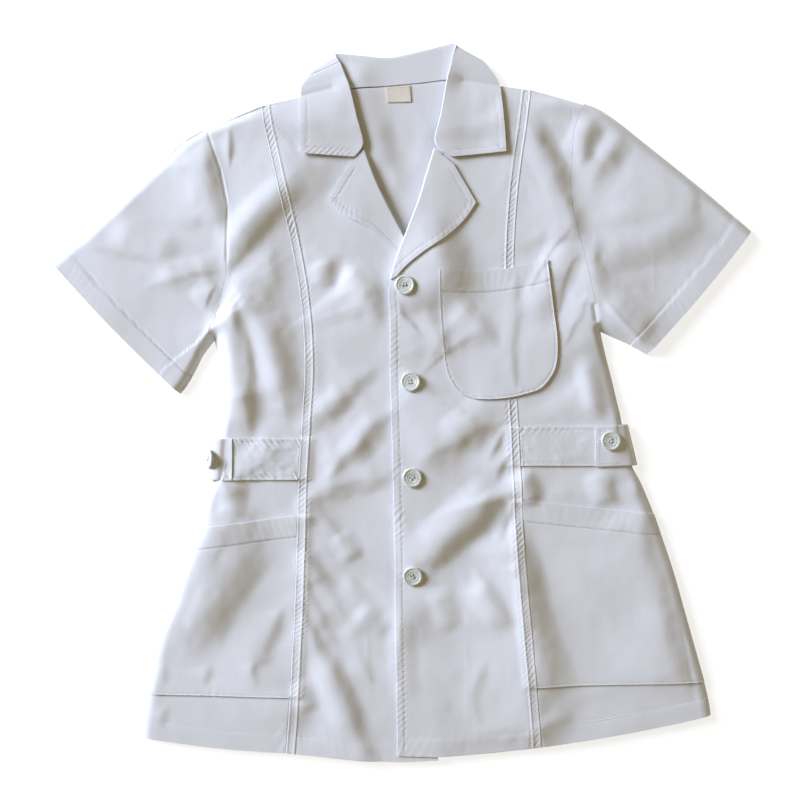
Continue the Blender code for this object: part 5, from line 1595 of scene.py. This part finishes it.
def principled(name, colour, roughness, **values):
    """A material whose shader has these values; an underscore stands for a space in a name."""
    material = bpy.data.materials.new(name)
    material.use_nodes = True
    shader = material.node_tree.nodes["Principled BSDF"]
    named = {key.replace("_", " "): value for key, value in values.items()}
    set_inputs(shader, {"Base Color": (*colour, 1.0), "Roughness": roughness, **named})
    return material, shader


def node(material, kind, inputs=None, **settings):
    made = material.node_tree.nodes.new(kind)
    for key, value in settings.items():
        setattr(made, key, value)
    set_inputs(made, inputs or {})
    return made


def link(material, start, out, end, into):
    material.node_tree.links.new(start.outputs[out], end.inputs[into])


def fed(material, kind, source, out, into, inputs=None, **settings):
    """A node with one input fed by another node's output."""
    made = node(material, kind, inputs, **settings)
    link(material, source, out, made, into)
    return made


def combined(material, operation, first, second):
    """The sum or product of two patterns."""
    made = fed(material, "ShaderNodeMath", first, "Fac", 0, operation=operation)
    link(material, second, "Value" if second.bl_idname == "ShaderNodeMath" else "Fac", made, 1)
    return made


def colour_by(material, shader, source, out, dark, light):
    """Let a pattern choose between two tones of the base colour."""
    tones = {"A": (*dark, 1.0), "B": (*light, 1.0)}
    colour = fed(material, "ShaderNodeMix", source, out, "Factor", tones, data_type="RGBA")
    link(material, colour, "Result", shader, "Base Color")


def bump_by(material, shader, source, out, strength, distance):
    """Let a pattern roughen the surface."""
    inputs = {"Strength": strength, "Distance": distance}
    bump = fed(material, "ShaderNodeBump", source, out, "Height", inputs)
    link(material, bump, "Normal", shader, "Normal")


def cloth_material(name, light, dark, yarn, roughness, sheen):
    """Plain weave: two crossed sets of yarns, slubs along the grain and faint uneven tone."""
    material, shader = principled(name, light, roughness, Sheen_Weight=sheen, Sheen_Roughness=0.45,
                                  Specular_IOR_Level=0.32)
    place = node(material, "ShaderNodeTexCoord")
    bands = {"Scale": 1.0 / yarn / 3.14, "Distortion": 0.6, "Detail": 1.0}
    warp, weft = (fed(material, "ShaderNodeTexWave", place, "Object", "Vector", bands,
                      wave_type="BANDS", bands_direction=way) for way in "XY")
    weave = combined(material, "MULTIPLY", warp, weft)
    stretch = fed(material, "ShaderNodeMapping", place, "Object", "Vector", {"Scale": (900.0, 60.0, 60.0)})
    slub = fed(material, "ShaderNodeTexNoise", stretch, "Vector", "Vector", {"Scale": 1.0, "Detail": 3.0})
    cloud = fed(material, "ShaderNodeTexNoise", place, "Object", "Vector", {"Scale": 22.0, "Detail": 4.0})
    tone = combined(material, "ADD", slub, cloud)
    ramp = fed(material, "ShaderNodeMapRange", tone, "Value", "Value", {"From Min": 0.7, "From Max": 1.3})
    colour_by(material, shader, ramp, "Result", dark, light)
    rough = fed(material, "ShaderNodeMapRange", cloud, "Fac", "Value",
                {"To Min": roughness - 0.06, "To Max": roughness + 0.06})
    link(material, rough, "Result", shader, "Roughness")
    height = combined(material, "ADD", slub, weave)
    bump_by(material, shader, height, "Value", 0.35, 0.00006)
    return material


def thread_material(name, light, dark):
    """Twisted sewing thread."""
    material, shader = principled(name, light, 0.6, Sheen_Weight=0.2)
    place = node(material, "ShaderNodeTexCoord")
    twist = fed(material, "ShaderNodeTexWave", place, "Object", "Vector", {"Scale": 900.0},
                wave_type="BANDS", bands_direction="DIAGONAL")
    colour_by(material, shader, twist, "Fac", dark, light)
    bump_by(material, shader, twist, "Fac", 0.5, 0.0001)
    return material


def resin_material():
    """Pearly translucent resin with a cloudy drift of tone."""
    material, shader = principled("button_resin_pearl", (0.62, 0.65, 0.60), 0.22, Subsurface_Weight=0.25,
                                  Subsurface_Radius=(0.002, 0.002, 0.0016), Subsurface_Scale=0.6,
                                  Coat_Weight=0.5, Coat_Roughness=0.12)
    place = node(material, "ShaderNodeTexCoord")
    cloud = fed(material, "ShaderNodeTexNoise", place, "Object", "Vector",
                {"Scale": 160.0, "Detail": 4.0, "Distortion": 1.6})
    spread = fed(material, "ShaderNodeMapRange", cloud, "Fac", "Value",
                 {"From Min": 0.35, "From Max": 0.65})
    colour_by(material, shader, spread, "Result", (0.56, 0.59, 0.54), (0.84, 0.86, 0.82))
    bump_by(material, shader, cloud, "Fac", 0.15, 0.0002)
    return material


def floor_material():
    """Pale paper that glows a little, so that it stays white to its horizon."""
    material, shader = principled("floor_paper", (0.40, 0.40, 0.40), 0.9, Emission_Strength=FLOOR_GLOW,
                                  Emission_Color=(1.0, 1.0, 1.0, 1.0))
    place = node(material, "ShaderNodeTexCoord")
    grain = fed(material, "ShaderNodeTexNoise", place, "Object", "Vector", {"Scale": 300.0})
    bump_by(material, shader, grain, "Fac", 0.05, 0.0002)
    return material


def area_light(name, place, aim, size, power, colour):
    data = bpy.data.lights.new(name, "AREA")
    data.shape = "DISK"
    data.size = size
    data.energy = power
    data.color = colour
    light = bpy.data.objects.new(name, data)
    light.location = place
    way = Vector(aim) - Vector(place)
    light.rotation_euler = way.to_track_quat("-Z", "Y").to_euler()
    bpy.context.scene.collection.objects.link(light)


def stage_and_camera():
    """Pale floor, soft key light from the left, a warm dim room, and the camera straight above."""
    scene = bpy.context.scene
    half = FLOOR_HALF
    mesh = bpy.data.meshes.new("floor")
    mesh.from_pydata([(-half, -half, 0.0), (half, -half, 0.0), (half, half, 0.0), (-half, half, 0.0)],
                     [], [(0, 1, 2, 3)])
    floor = bpy.data.objects.new("floor", mesh)
    floor.location = (0.0, 0.0, -FLOOR_GAP * MM)
    scene.collection.objects.link(floor)
    floor.data.materials.append(floor_material())
    for row in table(LIGHTS):
        place = Vector((row["x"], row["y"], row["z"]))
        area_light(row["name"], place, (0.0, 0.0, 0.0), row["size"], row["power"], row["colour"])
    world = bpy.data.worlds.new("room")
    world.use_nodes = True
    background = world.node_tree.nodes["Background"]
    way = node(world, "ShaderNodeTexCoord")
    parts = fed(world, "ShaderNodeSeparateXYZ", way, "Generated", "Vector")
    rise = fed(world, "ShaderNodeMapRange", parts, "Z", "Value",
               {"From Min": WALL_TOP, "From Max": WALL_TOP + WALL_FADE}, interpolation_type="SMOOTHSTEP")
    tones = {"A": (*WALL_LIGHT, 1.0), "B": (*(ROOM_STRENGTH * share for share in ROOM_COLOUR), 1.0)}
    room = fed(world, "ShaderNodeMix", rise, "Result", "Factor", tones, data_type="RGBA")
    link(world, room, "Result", background, "Color")
    background.inputs["Strength"].default_value = 1.0
    scene.world = world
    scene.view_settings.view_transform = "Standard"
    scene.view_settings.look = "None"
    data = bpy.data.cameras.new("camera")
    data.lens = CAMERA_LENS
    data.sensor_width = CAMERA_SENSOR
    camera = bpy.data.objects.new("camera", data)
    middle = from_photo(*PHOTO_MIDDLE)
    frame_width = 2.0 * PHOTO_MIDDLE[0] * PHOTO_SCALE
    camera.location = (middle[0] * MM, middle[1] * MM,
                       (frame_width * CAMERA_LENS / CAMERA_SENSOR + FOCUS_HEIGHT) * MM)
    scene.collection.objects.link(camera)
    scene.camera = camera


def build():
    """Make the materials, every piece of the tunic and the stage."""
    white, tape = (cloth_material(**row) for row in table(CLOTHS))
    thread = thread_material("white_thread", (0.84, 0.85, 0.87), (0.72, 0.73, 0.76))
    resin = resin_material()

    def raised(surface, amount, rumple=0.0):
        def face(x, y):
            marks = noise((x + 0.4 * y) / 7.0, (y - 0.3 * x) / 10.0, 71)
            marks = marks + 0.5 * noise(x / 3.6, y / 4.4, 73)
            return surface(x, y) + amount + rumple * np.maximum(marks + 0.1, -0.2)
        return face

    obj = shell("cloth_back", back_grid(), back_surface, WALL, BACK_SOFTNESS, BACK_UNDER_STEP,
                lambda x, y: 0.0 * x)
    finish_cloth(obj, "back", white)
    sides = {"right": front_surface, "left": left_surface}
    front_names = {"hem": "bottom", "seam": "first", "edge": "last"}
    side_names = {"hem": "bottom", "seam": "first", "side": "last"}
    pocket_names = {name: name for name in ("top", "bottom", "first", "last")}
    for wearer, surface in sides.items():
        dress("front_" + wearer, front_grid(wearer), surface, front_names, white, thread, under=UNDER_STEP)
    for wearer, surface in sides.items():
        dress("side_front_" + wearer, side_grid(wearer), surface, side_names, white, thread,
              under=UNDER_STEP)
        pocket = side_grid(wearer, "pocket_top", "pocket_bottom", 0.0, CELL, POCKET_FINE)
        dress("hip_pocket_" + wearer, pocket, raised(surface, STEP), pocket_names, white, thread)
        tab = side_grid(wearer, "tab_top", "tab_bottom", TAB_INSET, FINE_CELL)
        dress("waist_tab_" + wearer, tab, raised(surface, STEP, TAB_RUMPLE[wearer]), pocket_names,
              white, thread)
    for name, sleeve, side, outward in (("sleeve_right", RIGHT_SLEEVE, "right_side", -1.0),
                                        ("sleeve_left", LEFT_SLEEVE, "left_side", 1.0)):
        grid = sleeve_grid(sleeve, side, outward)
        dress(name, grid, front_surface, {"cuff": "bottom", "hole": "top"}, white, thread,
              build=lambda dressed, name=name, grid=grid: sleeve_mesh("cloth_" + name, grid, dressed))
    collar_piece(white, thread)
    lapel_piece("lapel_right", RIGHT_LAPEL, front_surface, white, thread)
    lapel_piece("lapel_left", LEFT_LAPEL, left_surface, white, thread)
    dress("chest_pocket", pocket_grid(), raised(left_surface, LOOSE_GAP + WALL), pocket_names,
          white, thread)
    belt_piece(white, thread)
    label_piece(tape, thread)

    turns = [math.radians(turn) for turn in BUTTON_TURNS]
    for number, (x, y) in enumerate(FRONT_BUTTONS, 1):
        place, normal = resting_place(x, y, left_surface, GAP)
        button_piece("front_button_" + str(number), place, normal, turns[number - 1], resin, thread)
        buttonhole("buttonhole_" + str(number), (x + 1.2, y), (1.0, 0.0), left_surface, thread)

    def belt_face(x, y):
        return left_surface(x, y) + 2.0 * STEP

    x, y = LEFT_BELT_BUTTON
    place, normal = resting_place(x, y, belt_face, GAP)
    button_piece("belt_button_left", place, normal, turns[4], resin, thread)
    buttonhole("buttonhole_belt", (x - 1.0, y), (1.0, 0.05), belt_face, thread)
    faces = Vector(RIGHT_BELT_BUTTON_FACES).normalized()
    button_piece("belt_button_right", Vector(RIGHT_BELT_BUTTON), faces, turns[5], resin, thread)
    stage_and_camera()


build()
